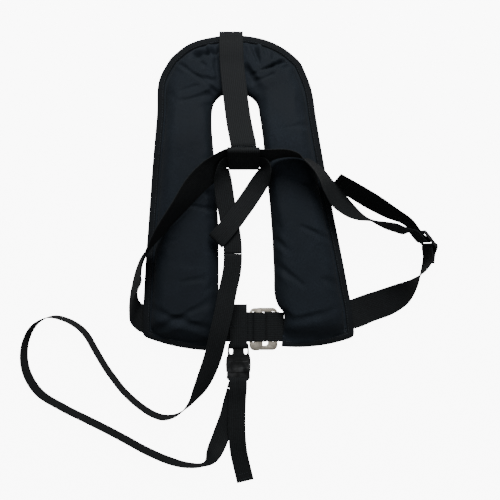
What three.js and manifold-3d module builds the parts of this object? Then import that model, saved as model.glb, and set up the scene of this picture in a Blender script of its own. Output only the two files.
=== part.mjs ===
// Inflatable life jacket, lying on its front with the back of the wearer's side up.
// Millimetres, +Z up, +Y towards the collar. The horseshoe cover is two pillow shells that meet in an
// outer flange; the bladder, inflator and oral valve lie inside it, and the webbing harness outside.
import * as THREE from "three";
import { mergeVertices } from "three/addons/utils/BufferGeometryUtils.js";
import Module from "manifold-3d";

const wasm = await Module();
wasm.setup();

// ---- driving dimensions -------------------------------------------------------------------------
const GAP = 0.3; // clearance between pieces that touch
const COVER = {
  wall: 1.5, seamZ: 18, tape: 1, flange: 13, lobeTop: 50, collarTop: 38, endTaper: 34, endBow: 7,
};
const BINDING = { wall: 1.2, cover: 11 };
const WEB = { thick: 2, waist: 50, back: 40, crotch: 30 };
const KEEPER = { x: -10, y: 144.5, z: 80, tilt: 0.4, inner: 7, room: 2 };
const ADJUSTER = { x: 292, y: 18, z: 34, heading: -0.92, thick: 4, bar: 5, pitch: 14, side: 5 };
const FRONT = {
  y: -135, strapY: -131, hingeX: 1.2, hingeZ: 17.5, length: 72, thick: 3, bar: 4.5, slot: 6.2,
};
const RING = { x: 26.6, width: 41, drop: 4.5, window: 20, turn: 3.9 };
const RELEASE = {
  x: -20, z: 11, top: -160, mouth: -208, width: 40, thick: 12, wall: 3, body: 26, plug: 27.5,
};
const INFLATOR = { x: -112, y: -30, z: 22, width: 38, length: 44, height: 26 };
const CYLINDER = { dia: 34, length: 130, neck: 13, neckLength: 12 };
const ORAL = { x: 84, y: 40, z: 24, tube: 12, bore: 8, length: 110 };

// ---- small helpers ------------------------------------------------------------------------------
const V = (x, y, z) => new THREE.Vector3(x, y, z);
const P = (x, y) => new THREE.Vector2(x, y);
const lerp = THREE.MathUtils.lerp;

/** Closed BufferGeometry from points and triangles, turned so that its faces point out. */
function closed(points, faces) {
  let volume = 0;
  for (const [a, b, c] of faces) {
    volume += points[a].dot(points[b].clone().cross(points[c]));
  }
  const turned = volume < 0 ? faces.map(([a, b, c]) => [a, c, b]) : faces;
  const geometry = new THREE.BufferGeometry();
  geometry.setAttribute("position", new THREE.Float32BufferAttribute(points.flatMap((p) => p.toArray()), 3));
  geometry.setIndex(turned.flat());
  return geometry;
}

/** Solid through rings of equal count; caps(n) gives the triangles that close an end ring. */
function loft(rings, caps) {
  const count = rings[0].length;
  const faces = [];
  for (let i = 0; i + 1 < rings.length; i++) {
    for (let j = 0; j < count; j++) {
      const a = i * count + j;
      const b = i * count + ((j + 1) % count);
      faces.push([a, b, b + count], [a, b + count, a + count]);
    }
  }
  const last = (rings.length - 1) * count;
  for (const [a, b, c] of caps(count)) {
    faces.push([a, c, b], [last + a, last + b, last + c]);
  }
  return closed(rings.flat(), faces);
}

/** End triangles of a convex ring. */
const fanCap = (n) => Array.from({ length: n - 2 }, (_, i) => [0, i + 1, i + 2]);

/** End triangles of a ring that runs out along one skin and back along the other. */
function stripCap(n) {
  const faces = [];
  for (let i = 0; i + 1 < n / 2; i++) {
    faces.push([i, i + 1, n - 2 - i], [i, n - 2 - i, n - 1 - i]);
  }
  return faces;
}

/** Flat tape along a route of [x, y, z, width direction]; the tape's middle follows the route.
 *  Sections stand at every stop and wherever the tape has turned, twisted or run on far enough.
 *  The first `skewed` stops keep their width direction as given; the others stand square. */
function ribbon(route, width, skewed = 0, turn = 15, stride = 45) {
  const path = new THREE.CatmullRomCurve3(route.map((r) => V(r[0], r[1], r[2])));
  const across = new THREE.CatmullRomCurve3(route.map((r) => V(r[3], r[4], r[5])));
  const perStop = 16;
  const fine = perStop * (route.length - 1);
  const rings = [];
  let kept = null;
  for (let i = 0; i <= fine; i++) {
    const t = i / fine;
    const tangent = path.getTangent(t);
    const given = across.getPoint(t).normalize();
    const squareness = THREE.MathUtils.clamp(i / perStop - skewed + 1, 0, 1);
    const side = given.clone().addScaledVector(tangent, -squareness * given.dot(tangent)).normalize();
    const middle = path.getPoint(t);
    if (kept && i % perStop > 0) {
      const swing = Math.max(tangent.angleTo(kept.tangent), side.angleTo(kept.side));
      const turned = THREE.MathUtils.radToDeg(swing);
      if (turned < turn && middle.distanceTo(kept.middle) < stride) continue;
    }
    kept = { tangent, side, middle };
    const up = tangent.clone().cross(side).normalize();
    rings.push([[1, 1], [-1, 1], [-1, -1], [1, -1]].map(([s, u]) => middle.clone()
      .addScaledVector(side, s * width / 2).addScaledVector(up, u * WEB.thick / 2)));
  }
  return loft(rings, fanCap);
}

const box = (w, l, h, x, y, z) => new THREE.BoxGeometry(w, l, h).translate(x, y, z);

/** Cylinder or cone along X, Y or Z, centred on a point. */
function rod(axis, r1, r2, length, x, y, z, sides = 24) {
  const geometry = new THREE.CylinderGeometry(r2, r1, length, sides); // r1 at the low end
  if (axis === "x") geometry.rotateZ(-Math.PI / 2);
  if (axis === "z") geometry.rotateX(Math.PI / 2);
  return geometry.translate(x, y, z);
}

/** Turned piece: profile of [radius, height], its axis laid along +X, +Y or +Z from a point. */
function turned(axis, profile, x, y, z, sides = 24) {
  const points = profile.map(([r, h]) => P(r, h));
  if (THREE.ShapeUtils.area(points) < 0) points.reverse();
  const geometry = new THREE.LatheGeometry(points, sides);
  if (axis === "x") geometry.rotateZ(-Math.PI / 2);
  if (axis === "z") geometry.rotateX(Math.PI / 2);
  return geometry.translate(x, y, z);
}

/** Rounded rectangle outline centred on a point. */
function roundRect(w, h, r, x = 0, y = 0, Kind = THREE.Shape) {
  const s = new Kind();
  s.absarc(x + w / 2 - r, y - h / 2 + r, r, -Math.PI / 2, 0);
  s.absarc(x + w / 2 - r, y + h / 2 - r, r, 0, Math.PI / 2);
  s.absarc(x - w / 2 + r, y + h / 2 - r, r, Math.PI / 2, Math.PI);
  s.absarc(x - w / 2 + r, y - h / 2 + r, r, Math.PI, Math.PI * 1.5);
  return s;
}
const hole = (w, h, r, x = 0, y = 0) => roundRect(w, h, r, x, y, THREE.Path);

/** Plate of a shape with holes, its thickness centred on z = 0. */
function plate(shape, thick, holes = [], curveSegments = 5) {
  shape.holes = holes;
  return new THREE.ExtrudeGeometry(shape, { depth: thick, bevelEnabled: false, curveSegments })
    .translate(0, 0, -thick / 2);
}

function toManifold(geometry) {
  const bare = geometry.clone();
  bare.deleteAttribute("normal");
  bare.deleteAttribute("uv");
  const merged = mergeVertices(bare, 1e-3);
  const corners = merged.index.array;
  const kept = [];
  for (let i = 0; i < corners.length; i += 3) {
    const [a, b, c] = corners.slice(i, i + 3);
    if (a !== b && b !== c && c !== a) kept.push(a, b, c);
  }
  return new wasm.Manifold(new wasm.Mesh({
    numProp: 3,
    vertProperties: new Float32Array(merged.attributes.position.array),
    triVerts: new Uint32Array(kept),
  }));
}

function fromManifold(solid) {
  const mesh = solid.getMesh();
  const geometry = new THREE.BufferGeometry();
  geometry.setAttribute("position", new THREE.BufferAttribute(new Float32Array(mesh.vertProperties), 3));
  geometry.setIndex(new THREE.BufferAttribute(new Uint32Array(mesh.triVerts), 1));
  return geometry;
}

const join = (first, ...rest) =>
  fromManifold(rest.reduce((s, g) => s.add(toManifold(g)), toManifold(first)));
const cut = (first, ...tools) =>
  fromManifold(tools.reduce((s, g) => s.subtract(toManifold(g)), toManifold(first)));

// ---- the assembly -------------------------------------------------------------------------------
const jacket = new THREE.Group();
const cordNames = new Set([
  "crotch_strap", "release_plug", "plug_arm_left", "plug_arm_right", "crotch_tail",
]);

const finish = (colour, roughness, metalness = 0) =>
  new THREE.MeshStandardMaterial({ color: colour, roughness, metalness });
const NYLON = finish(0x15191e, 0.85);
const BINDING_TAPE = finish(0x101112, 0.8);
const WEBBING = finish(0x17181a, 0.75);
const ACETAL = finish(0x222324, 0.45);
const STAINLESS = finish(0xa9a59c, 0.25, 1);
const BRASS = finish(0xb59a55, 0.35, 1);
const STEEL = finish(0x8e9296, 0.4, 1);
const BLADDER = finish(0xe8c21c, 0.6);
const SAFETY_GREEN = finish(0x2f9e44, 0.5);
const SIGNAL_RED = finish(0xc4281c, 0.5);
const SIGNAL_ORANGE = finish(0xe86a1a, 0.45);

function add(name, geometry, material) {
  const mesh = new THREE.Mesh(geometry, material);
  mesh.name = name;
  jacket.add(mesh);
  return mesh;
}

// ---- cover --------------------------------------------------------------------------------------
// Stations of the horseshoe: outer edge point, inner edge point. Lobes end in a taper to the flange.
const LEFT_EDGE = [
  [[-182, -146], [-50, -170]], [[-180.5, -100], [-50, -112]], [[-177, -30], [-49, -30]],
  [[-171, 55], [-50, 55]], [[-164, 150], [-56, 150]], [[-157, 232], [-61, 224]],
  [[-154, 288], [-59, 250]], [[-134, 326], [-53, 259]],
];
const COLLAR_EDGE = [
  [[-134, 326], [-53, 259]], [[-104, 349], [-47, 264]], [[-64, 361], [-38, 268]], [[-20, 364], [-26, 269]],
  [[24, 357], [-14, 268]], [[60, 340], [-5, 264]], [[86, 318], [3, 259]],
];
const RIGHT_EDGE = [
  [[86, 318], [3, 259]], [[103, 275], [10, 250]], [[111, 226], [14, 224]], [[124, 150], [21, 150]],
  [[142, 55], [31, 55]], [[159, -30], [35.5, -30]], [[167.5, -76], [38, -80]], [[171, -92], [45, -98]],
  [[172.5, -103], [53.5, -108]], [[174.5, -122], [54, -127]], [[177, -147], [54, -163]],
];

/** Stations between the given ones, with rows that taper a free end; each row holds its height share. */
function rowsOf(edge, subdivisions, taperStart, taperEnd) {
  const outer = new THREE.CatmullRomCurve3(edge.map(([o]) => V(o[0], o[1], 0)));
  const inner = new THREE.CatmullRomCurve3(edge.map(([, i]) => V(i[0], i[1], 0)));
  const length = outer.getLength();
  const marks = [];
  const taper = [[0, 0], [COVER.flange, 0], [COVER.flange + 5, 0.55], [COVER.flange + 13, 0.84],
    [COVER.flange + COVER.endTaper, 1]];
  const count = (edge.length - 1) * subdivisions;
  for (let i = 0; i <= count; i++) marks.push([i / count, 1]);
  const clear = (COVER.flange + COVER.endTaper) * 1.3 / length;
  let rows = marks;
  if (taperStart) rows = [...taper.map(([d, h]) => [d / length, h]), ...rows.filter(([t]) => t > clear)];
  if (taperEnd) {
    rows = [...rows.filter(([t]) => t < 1 - clear), ...taper.map(([d, h]) => [1 - d / length, h]).reverse()];
  }
  return rows.map(([t, share]) => {
    const fromEnd = Math.min(taperStart ? t : 1, taperEnd ? 1 - t : 1) * length;
    const bow = COVER.endBow * Math.max(0, 1 - fromEnd / (COVER.flange + COVER.endTaper));
    return { outer: outer.getPoint(t), inner: inner.getPoint(t), share, bow };
  });
}

const SHARES = [0, 0.08, 0.18, 0.33, 0.5, 0.67, 0.82, 0.92, 1]; // round the pillow's arc
const squircle = (value, power) => Math.sign(value) * Math.abs(value) ** power;

/** One pillow shell. side is +1 for the back panel above the seam, -1 for the front panel below it. */
function panel(rows, side, tops) {
  const flangeGap = COVER.tape + 1.5 * GAP;
  const fullness = side > 0 ? 1.06 : 1.12; // the front panel is pressed flat where it lies
  const rings = rows.map(({ outer, inner, share, bow }, i) => {
    const top = tops[i];
    const inward = inner.clone().sub(outer).normalize();
    const root = outer.clone().addScaledVector(inward, COVER.flange);
    const skin = (inset) => {
      const from = inner.clone().addScaledVector(inward, -inset);
      const to = root.clone().addScaledVector(inward, inset);
      const reach = side > 0 ? top - COVER.seamZ : COVER.seamZ;
      const points = SHARES.map((s) => {
        const angle = Math.PI * s;
        const along = (1 - squircle(Math.cos(angle), 0.72)) / 2;
        const rise = Math.min(1, fullness * squircle(Math.sin(angle), 0.7)) * share;
        const base = lerp(GAP / 2, flangeGap + COVER.wall - inset, along);
        const height = base + Math.max(0, reach - inset - base) * rise;
        const p = from.clone().lerp(to, along);
        const across = p.distanceTo(inner) / outer.distanceTo(inner);
        return V(p.x, p.y - 4 * bow * across * (1 - across), COVER.seamZ + side * height);
      });
      points.push(V(outer.x, outer.y, COVER.seamZ + side * (flangeGap + COVER.wall - inset)));
      return points;
    };
    return [...skin(0), ...skin(COVER.wall).reverse()];
  });
  return loft(rings, stripCap);
}

/** Cut both ends of a seam edge back so that neighbouring panels keep their gap. */
function trimmed(rows, atStart, atEnd) {
  const out = rows.map((r) => ({ ...r, outer: r.outer.clone(), inner: r.inner.clone() }));
  const shift = (row, next) => {
    const step = next.outer.clone().sub(row.outer).normalize().multiplyScalar(GAP * 0.6);
    row.outer.add(step);
    row.inner.add(next.inner.clone().sub(row.inner).normalize().multiplyScalar(GAP * 0.6));
  };
  if (atStart) shift(out[0], out[1]);
  if (atEnd) shift(out.at(-1), out.at(-2));
  return out;
}

const smooth = (t) => t * t * (3 - 2 * t);
const leftRows = trimmed(rowsOf(LEFT_EDGE, 2, true, false), false, true);
const collarRows = trimmed(rowsOf(COLLAR_EDGE, 2, false, false), true, true);
const rightRows = trimmed(rowsOf(RIGHT_EDGE, 2, false, true), true, false);

/** Height of the back panel: full on the lobes, falling to the collar over the shoulders. */
function topsOf(rows) {
  return rows.map(({ outer, inner }) => {
    const y = (outer.y + inner.y) / 2;
    return lerp(COVER.lobeTop, COVER.collarTop, smooth(THREE.MathUtils.clamp((y - 170) / 110, 0, 1)));
  });
}

for (const [name, rows] of [["left", leftRows], ["collar", collarRows], ["right", rightRows]]) {
  add(`back_panel_${name}`, panel(rows, 1, topsOf(rows)), NYLON);
  add(`front_panel_${name}`, panel(rows, -1, topsOf(rows)), NYLON);
}

/** Points of the whole outer edge: up the left lobe, round the collar, down the right lobe, and
 *  along each bottom. inset moves them inwards. */
function outerEdge(inset) {
  const rows = [...leftRows, ...collarRows.slice(1), ...rightRows.slice(1)];
  const outers = rows.map(({ outer, inner }) =>
    outer.clone().addScaledVector(inner.clone().sub(outer).normalize(), inset));
  return outers;
}

/** Flat strip on the flange between two insets, from z = low to z = high. */
function flangeStrip(insetOut, insetIn, low, high, end) {
  const out = outerEdge(insetOut);
  const inn = outerEdge(insetIn);
  const rings = out.map((o, i) => [V(o.x, o.y, low), V(inn[i].x, inn[i].y, low), V(inn[i].x, inn[i].y, high),
    V(o.x, o.y, high)]);
  const pull = (ring, next) => ring.forEach((p, k) =>
    p.addScaledVector(next[k].clone().sub(p).normalize(), end));
  pull(rings[0], rings[1]);
  pull(rings.at(-1), rings.at(-2));
  return loft(rings, fanCap);
}

const tapeInset = [1, COVER.flange - 1];
const tapeFoot = COVER.seamZ + GAP / 2;
const tapeHead = COVER.seamZ - GAP / 2;
add("loop_tape", flangeStrip(...tapeInset, tapeFoot, tapeFoot + COVER.tape, 1), NYLON);
add("hook_tape", flangeStrip(...tapeInset, tapeHead - COVER.tape, tapeHead, 1), NYLON);

/** Tape folded round the flange's outer edge: a U section swept along it. */
function edgeBinding() {
  const half = COVER.tape + 1.5 * GAP + COVER.wall + GAP; // half height of the flange stack
  const far = outerEdge(-GAP - BINDING.wall);
  const near = outerEdge(-GAP);
  const lip = outerEdge(BINDING.cover);
  const z = COVER.seamZ;
  const rings = far.map((f, i) => {
    const [n, l] = [near[i], lip[i]];
    return [
      V(l.x, l.y, z + half + BINDING.wall), V(f.x, f.y, z + half + BINDING.wall),
      V(f.x, f.y, z - half - BINDING.wall), V(l.x, l.y, z - half - BINDING.wall),
      V(l.x, l.y, z - half), V(n.x, n.y, z - half), V(n.x, n.y, z + half), V(l.x, l.y, z + half),
    ];
  });
  return loft(rings, stripCap);
}
add("edge_binding", edgeBinding(), BINDING_TAPE);

// ---- harness ------------------------------------------------------------------------------------
const rootZ = COVER.seamZ - (COVER.tape + 1.5 * GAP + COVER.wall + GAP + BINDING.wall) - GAP - WEB.thick / 2;
const edgeTopZ = 2 * COVER.seamZ - rootZ;

// The keeper's long axis (up) and its normal (towards the collar).
const keeperUp = V(0, Math.sin(KEEPER.tilt), Math.cos(KEEPER.tilt));
const keeperOut = V(0, Math.cos(KEEPER.tilt), -Math.sin(KEEPER.tilt));
const keeperHalf = WEB.waist / 2 + KEEPER.room; // inner half length
const atKeeper = (x, up, out) => V(KEEPER.x + x, KEEPER.y, KEEPER.z)
  .addScaledVector(keeperUp, up).addScaledVector(keeperOut, out);
const keeperStop = (x, up, out, across = keeperUp) =>
  [...atKeeper(x, up, out).toArray(), ...across.toArray()];
const beltOut = WEB.thick / 2 + GAP + 0.2; // belt and noose lie side by side in the keeper
const keeperFace = KEEPER.inner / 2 + WEB.thick;

const AWAY = V(-1, 0, 0);
const BACK_STRAP_ROUTE = [
  [-32.5, 352.5, rootZ, 1, 0, 0], [-32.5, 366, rootZ - 0.2, 1, 0, 0],
  [-32.3, 369.8, rootZ + 2.2, 1, 0, 0], [-32.2, 370.6, COVER.seamZ, 1, 0, 0],
  [-32, 369.4, edgeTopZ - 1.8, 1, 0, 0], [-32, 362, edgeTopZ + 0.8, 1, 0, 0],
  [-31.8, 352, edgeTopZ + 6.5, 1, 0, 0], [-31.4, 343, COVER.collarTop - 0.5, 1, 0, 0],
  [-31, 330, COVER.collarTop + 2.6, 1, 0.02, 0], [-30, 308, COVER.collarTop + 5, 1, 0.05, 0],
  [-27.6, 284, 53, 1, 0.08, 0], [-22.6, 240, 66, 1, 0.08, 0], [-17.4, 202, 79, 1, 0.08, 0],
  [-12.5, 176, 90, 1, 0.04, 0], keeperStop(0, 20, keeperFace + 5.5, V(1, 0, 0)),
  keeperStop(0, 12, keeperFace + GAP + 1.2, V(1, 0, 0)),
  keeperStop(0, 3, keeperFace + GAP + 1.05, V(1, 0, 0)),
  keeperStop(0, -10, keeperFace + GAP + 1.05, V(1, 0, 0)),
];
add("back_strap", ribbon(BACK_STRAP_ROUTE, WEB.back), WEBBING);

/** Closed webbing loop: a stadium ring of the given inner length and height, extruded by its width. */
function webLoop(innerLength, innerHeight, width) {
  const t = WEB.thick;
  const ring = roundRect(innerLength + 2 * t, innerHeight + 2 * t, innerHeight / 2 + t - 0.01);
  return plate(ring, width, [hole(innerLength, innerHeight, innerHeight / 2 - 0.01)], 6);
}

const keeper = add("back_keeper", webLoop(2 * keeperHalf, KEEPER.inner, WEB.waist), WEBBING);
keeper.quaternion.setFromRotationMatrix(new THREE.Matrix4().makeBasis(keeperUp, keeperOut, AWAY));
keeper.position.set(KEEPER.x, KEEPER.y, KEEPER.z);

// Waist adjuster: three upright bars between two cheeks, standing on edge.
const adjusterAlong = V(Math.cos(ADJUSTER.heading), Math.sin(ADJUSTER.heading), 0);
const adjusterOut = V(-adjusterAlong.y, adjusterAlong.x, 0);
const atAdjuster = (along, out) => V(ADJUSTER.x, ADJUSTER.y, ADJUSTER.z)
  .addScaledVector(adjusterAlong, along).addScaledVector(adjusterOut, out);
const adjusterStop = (along, out) => [...atAdjuster(along, out).toArray(), 0, 0, 1];
const slotWidth = ADJUSTER.pitch - ADJUSTER.bar;
const adjusterLength = 2 * ADJUSTER.pitch + ADJUSTER.bar;
const adjusterHeight = WEB.waist + 2 + 2 * ADJUSTER.side;
const adjuster = add("waist_adjuster", plate(
  roundRect(adjusterLength, adjusterHeight, 4), ADJUSTER.thick,
  [-1, 1].map((s) => hole(slotWidth, WEB.waist + 2, 1.5, s * ADJUSTER.pitch / 2)), 4), ACETAL);
adjuster.quaternion.setFromRotationMatrix(
  new THREE.Matrix4().makeBasis(adjusterAlong, V(0, 0, 1), adjusterAlong.clone().cross(V(0, 0, 1))));
adjuster.position.set(ADJUSTER.x, ADJUSTER.y, ADJUSTER.z);

const wrap = ADJUSTER.thick / 2 + GAP + WEB.thick / 2 + 0.4; // webbing's middle from a bar's middle
const BELT_ROUTE = [
  [-170, -117, rootZ - 0.2, 0, 1, 0], [-185, -117, rootZ - 0.4, 0, 1, 0],
  [-194, -110.8, 11.4, 0.28, 0.91, 0.3], [-197.5, -103, 17.5, 0.38, 0.84, 0.4],
  [-198, -92, 21.5, 0.42, 0.7, 0.6], [-196.5, -78, 26, 0.45, 0.5, 0.74],
  [-191.5, -60, 30, 0.48, 0.2, 0.83], [-182.5, -33, 40, 0.4, 0.05, 0.91],
  [-165, -3.5, 64, 0.12, 0.02, 0.98], [-142, 31, 74.5, -0.13, 0.1, 0.98],
  [-112.5, 69, 77.5, -0.31, 0.18, 0.93], [-83.7, 105.5, 80, -0.46, 0.34, 0.82],
  [-62, 126, 82, -0.36, 0.46, 0.81], [-48.5, 142, 80.5, -0.1, 0.26, 0.96], keeperStop(-27, 0, beltOut),
  keeperStop(0, 0, beltOut), keeperStop(27, 0, beltOut), [38, 151, 79.5, 0, 0.15, 0.98],
  [58, 153, 78, 0, 0.05, 0.99], [77, 149.5, 76.5, -0.1, -0.05, 0.98],
  [92, 140.5, 75.5, -0.22, -0.2, 0.95], [106.5, 129.5, 68, -0.37, -0.2, 0.91],
  [118.5, 117.5, 61, -0.43, -0.26, 0.86], [129, 102.5, 56, -0.45, -0.4, 0.8],
  [145, 83.5, 49, -0.6, -0.34, 0.72], [161, 70.5, 44.5, -0.56, -0.32, 0.76],
  [178, 60.5, 40.5, -0.42, -0.28, 0.85], [196, 53, 38, -0.2, -0.15, 0.96], [214, 46.5, 36, 0, 0, 1],
  [240, 38, 34.5, -0.1, 0.2, 0.97], [262, 30.5, 34, -0.1, 0.15, 0.98], adjusterStop(-22, -7.6),
  adjusterStop(-13, -6.9), adjusterStop(-2, -6.4), adjusterStop(2, -5.4), adjusterStop(4.3, -3),
  adjusterStop(4.8, 0), adjusterStop(4.1, 2.5), adjusterStop(0, wrap), adjusterStop(-4.1, 2.5),
  adjusterStop(-5, 0), adjusterStop(-7, -2.3), adjusterStop(-12, -3.7), adjusterStop(-22, -3.6),
  [262, 47.5, 34.5, 0.02, 0.1, 1], [235, 62, 35, 0.1, 0.25, 0.96], [200, 82.5, 37, 0.15, 0.35, 0.92],
  [169, 100.5, 39, 0.12, 0.35, 0.92], [142, 116, 40, 0.1, 0.33, 0.93],
];
add("waist_belt", ribbon(BELT_ROUTE, WEB.waist, 7), WEBBING);

// The lobe strap hangs from the adjuster's last bar; along points down the strap, out to its right.
const strapDown = V(-0.08, -1, 0).normalize();
const strapRight = V(1, -0.08, 0).normalize();
const strapStop = (out, down) => [...atAdjuster(ADJUSTER.pitch, 0)
  .addScaledVector(strapRight, out).addScaledVector(strapDown, down).toArray(), 0, 0, 1];
const LOBE_STRAP_ROUTE = [
  [163.5, -112, rootZ - 0.5, -0.18, 1, 0], [178, -109.5, rootZ - 0.8, -0.18, 1, 0],
  [202, -99.5, 15, -0.3, 0.95, 0.12], [230, -88.5, 22, -0.35, 0.9, 0.2],
  [254, -75, 28, -0.45, 0.75, 0.45], [275, -56, 32, -0.4, 0.35, 0.8], [289, -36, 34, -0.15, 0.1, 0.98],
  strapStop(-1.4, 24), strapStop(-2.6, 12), strapStop(-4.4, 4), strapStop(-4.4, 0), strapStop(-3.1, -3.1),
  strapStop(0, -4.4), strapStop(3.1, -3.1), strapStop(4.4, 0), strapStop(4.2, 4), strapStop(1.6, 12),
  strapStop(0.95, 24), strapStop(1, 29),
];
add("lobe_strap_right", ribbon(LOBE_STRAP_ROUTE, WEB.waist), WEBBING);

// Front closure: a stainless plate hooked down into a stainless ring, each sewn to a short strap.
const slotLength = WEB.waist + 2;
const webTurn = Math.hypot(FRONT.bar / 2, FRONT.thick / 2) + 2 * GAP + WEB.thick / 2; // about a turning bar
const ringZ = FRONT.hingeZ - RING.drop;
const hookThick = 3;
const hookX = RING.x - RING.width / 2 + FRONT.bar + 0.8 + hookThick / 2;
const plateRight = hookX + hookThick / 2 + 7;
const plateLeft = FRONT.hingeX - FRONT.bar / 2;

function bucklePlate() {
  const width = plateRight - plateLeft;
  const shape = roundRect(width, FRONT.length, 9, plateLeft + width / 2, FRONT.y);
  const slotX = FRONT.hingeX + FRONT.bar / 2 + FRONT.slot / 2;
  const body = plate(shape, FRONT.thick, [hole(FRONT.slot, slotLength, 1.5, slotX, FRONT.strapY)]);
  body.translate(0, 0, FRONT.hingeZ);
  const hookFoot = ringZ - FRONT.thick / 2 - 0.8;
  const hookTop = FRONT.hingeZ;
  return join(body, box(hookThick, 30, hookTop - hookFoot, hookX, FRONT.y, (hookTop + hookFoot) / 2));
}
add("buckle_plate", bucklePlate(), STAINLESS);

const ringBarX = RING.x + RING.width / 2 - FRONT.bar / 2; // bar that holds the right strap
function buckleRing() {
  const left = RING.x - RING.width / 2;
  const shape = roundRect(RING.width, FRONT.length, 9, RING.x, FRONT.y);
  const windowX = left + FRONT.bar + RING.window / 2;
  const slotX = ringBarX - FRONT.bar / 2 - FRONT.slot / 2;
  return plate(shape, FRONT.thick, [
    hole(RING.window, slotLength + 6, 5, windowX, FRONT.y),
    hole(FRONT.slot, slotLength, 1.5, slotX, FRONT.strapY),
  ]).translate(0, 0, ringZ);
}
add("buckle_ring", buckleRing(), STAINLESS);

/** Strap round an upright bar: in at the top from one side, round the bar, out below; sign is the
 *  side the strap leaves to. Each row is [x, z] in the strap's long section. */
function frontStrap(rows) {
  return ribbon(rows.map(([x, z]) => [x, FRONT.strapY, z, 0, 1, 0]), WEB.waist);
}
const sheetGap = WEB.thick + GAP;
const leftButt = -50 + 0.8;
const rightButt = 51.8;
const seam = COVER.seamZ;
function turnRound(x, z, radius, side) {
  return [75, 35, 0, -35, -75].map((deg) => {
    const a = THREE.MathUtils.degToRad(deg);
    return [x + side * radius * Math.cos(a), z + radius * Math.sin(a)];
  });
}
add("front_strap_left", frontStrap([
  [leftButt, seam], [-36, seam - 0.1], [-22, seam - 0.1], [-10, seam + 0.6],
  ...turnRound(FRONT.hingeX, FRONT.hingeZ, webTurn, 1),
  [-6, 14.2], [-14, seam - 0.1 - sheetGap], [-24, seam - 0.15 - sheetGap], [-32, seam - 0.15 - sheetGap],
]), WEBBING);
add("front_strap_right", frontStrap([
  [rightButt, seam], [49, seam - 0.3], ...turnRound(ringBarX, ringZ, RING.turn, -1),
  [46.5, ringZ - RING.turn - 0.1], [50, ringZ - RING.turn - 0.2],
]), WEBBING);

// Crotch socket loop hangs over the left front strap and holds the socket's bar.
const loopHeight = 9;
const loopZ = 16.5;
const loopTop = -94;
const loopFoot = RELEASE.top - 7;
const loop = add("crotch_socket_loop", webLoop(loopTop - loopFoot, loopHeight, WEB.crotch), WEBBING);
loop.quaternion.setFromRotationMatrix(new THREE.Matrix4().makeBasis(V(0, 1, 0), V(0, 0, 1), V(1, 0, 0)));
loop.position.set(RELEASE.x, (loopTop + loopFoot) / 2, loopZ);

// Side-release buckle: cavity open at the mouth, cheeks notched for the arms' lugs.
const neckZ = loopZ - loopHeight / 2 + GAP + 0.1;
const neckThick = RELEASE.z + RELEASE.thick / 2 - neckZ;
const cavityWidth = RELEASE.width - 2 * RELEASE.wall;
function releaseSocket() {
  const { x, z, top, mouth, width, thick, body } = RELEASE;
  const shell = plate(roundRect(width, body, 4, x, mouth + body / 2), thick).translate(0, 0, z);
  const neckLength = top - (mouth + body) + 4;
  const barThick = 4;
  const neck = plate(roundRect(width - 2, neckLength, 6, x, top - neckLength / 2), neckThick, [
    hole(WEB.crotch + 3, 6.2, 2, x, top - barThick - 3.1),
  ]).translate(0, 0, neckZ + neckThick / 2);
  const cavity = box(cavityWidth, 22, thick - 4.6, x, mouth + 11 - 1, z);
  const notches = box(width + 2, 18, thick - 5.4, x, mouth + 9 - 1, z);
  return cut(join(shell, neck), cavity, notches);
}
add("release_socket", releaseSocket(), ACETAL);

const plugTop = RELEASE.mouth - 0.5;
const plugThick = 8;
const armThick = 6;
function releasePlug() {
  const { x, z, width, plug } = RELEASE;
  const shape = roundRect(width, plug, 3, x, plugTop - plug / 2);
  const base = plate(shape, plugThick, [
    hole(WEB.crotch + 3, 6, 1.5, x, plugTop - 9), hole(WEB.crotch + 3, 6.5, 1.5, x, plugTop - 19.3),
  ]).translate(0, 0, z);
  const guide = box(8, 21, armThick, x, plugTop + 9.5, z);
  return join(base, guide);
}
add("release_plug", releasePlug(), ACETAL);

function plugArm(side) {
  const y = plugTop + GAP;
  const points = [[12, 0], [15.5, 0], [15.6, 7.5], [19.3, 9], [19.3, 12.5], [16, 18], [13, 18.5], [12.4, 9]];
  const shape = new THREE.Shape(points.map(([px, py]) => P(RELEASE.x + side * px, y + py)));
  return plate(shape, armThick).translate(0, 0, RELEASE.z);
}
add("plug_arm_left", plugArm(-1), ACETAL);
add("plug_arm_right", plugArm(1), ACETAL);

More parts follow.
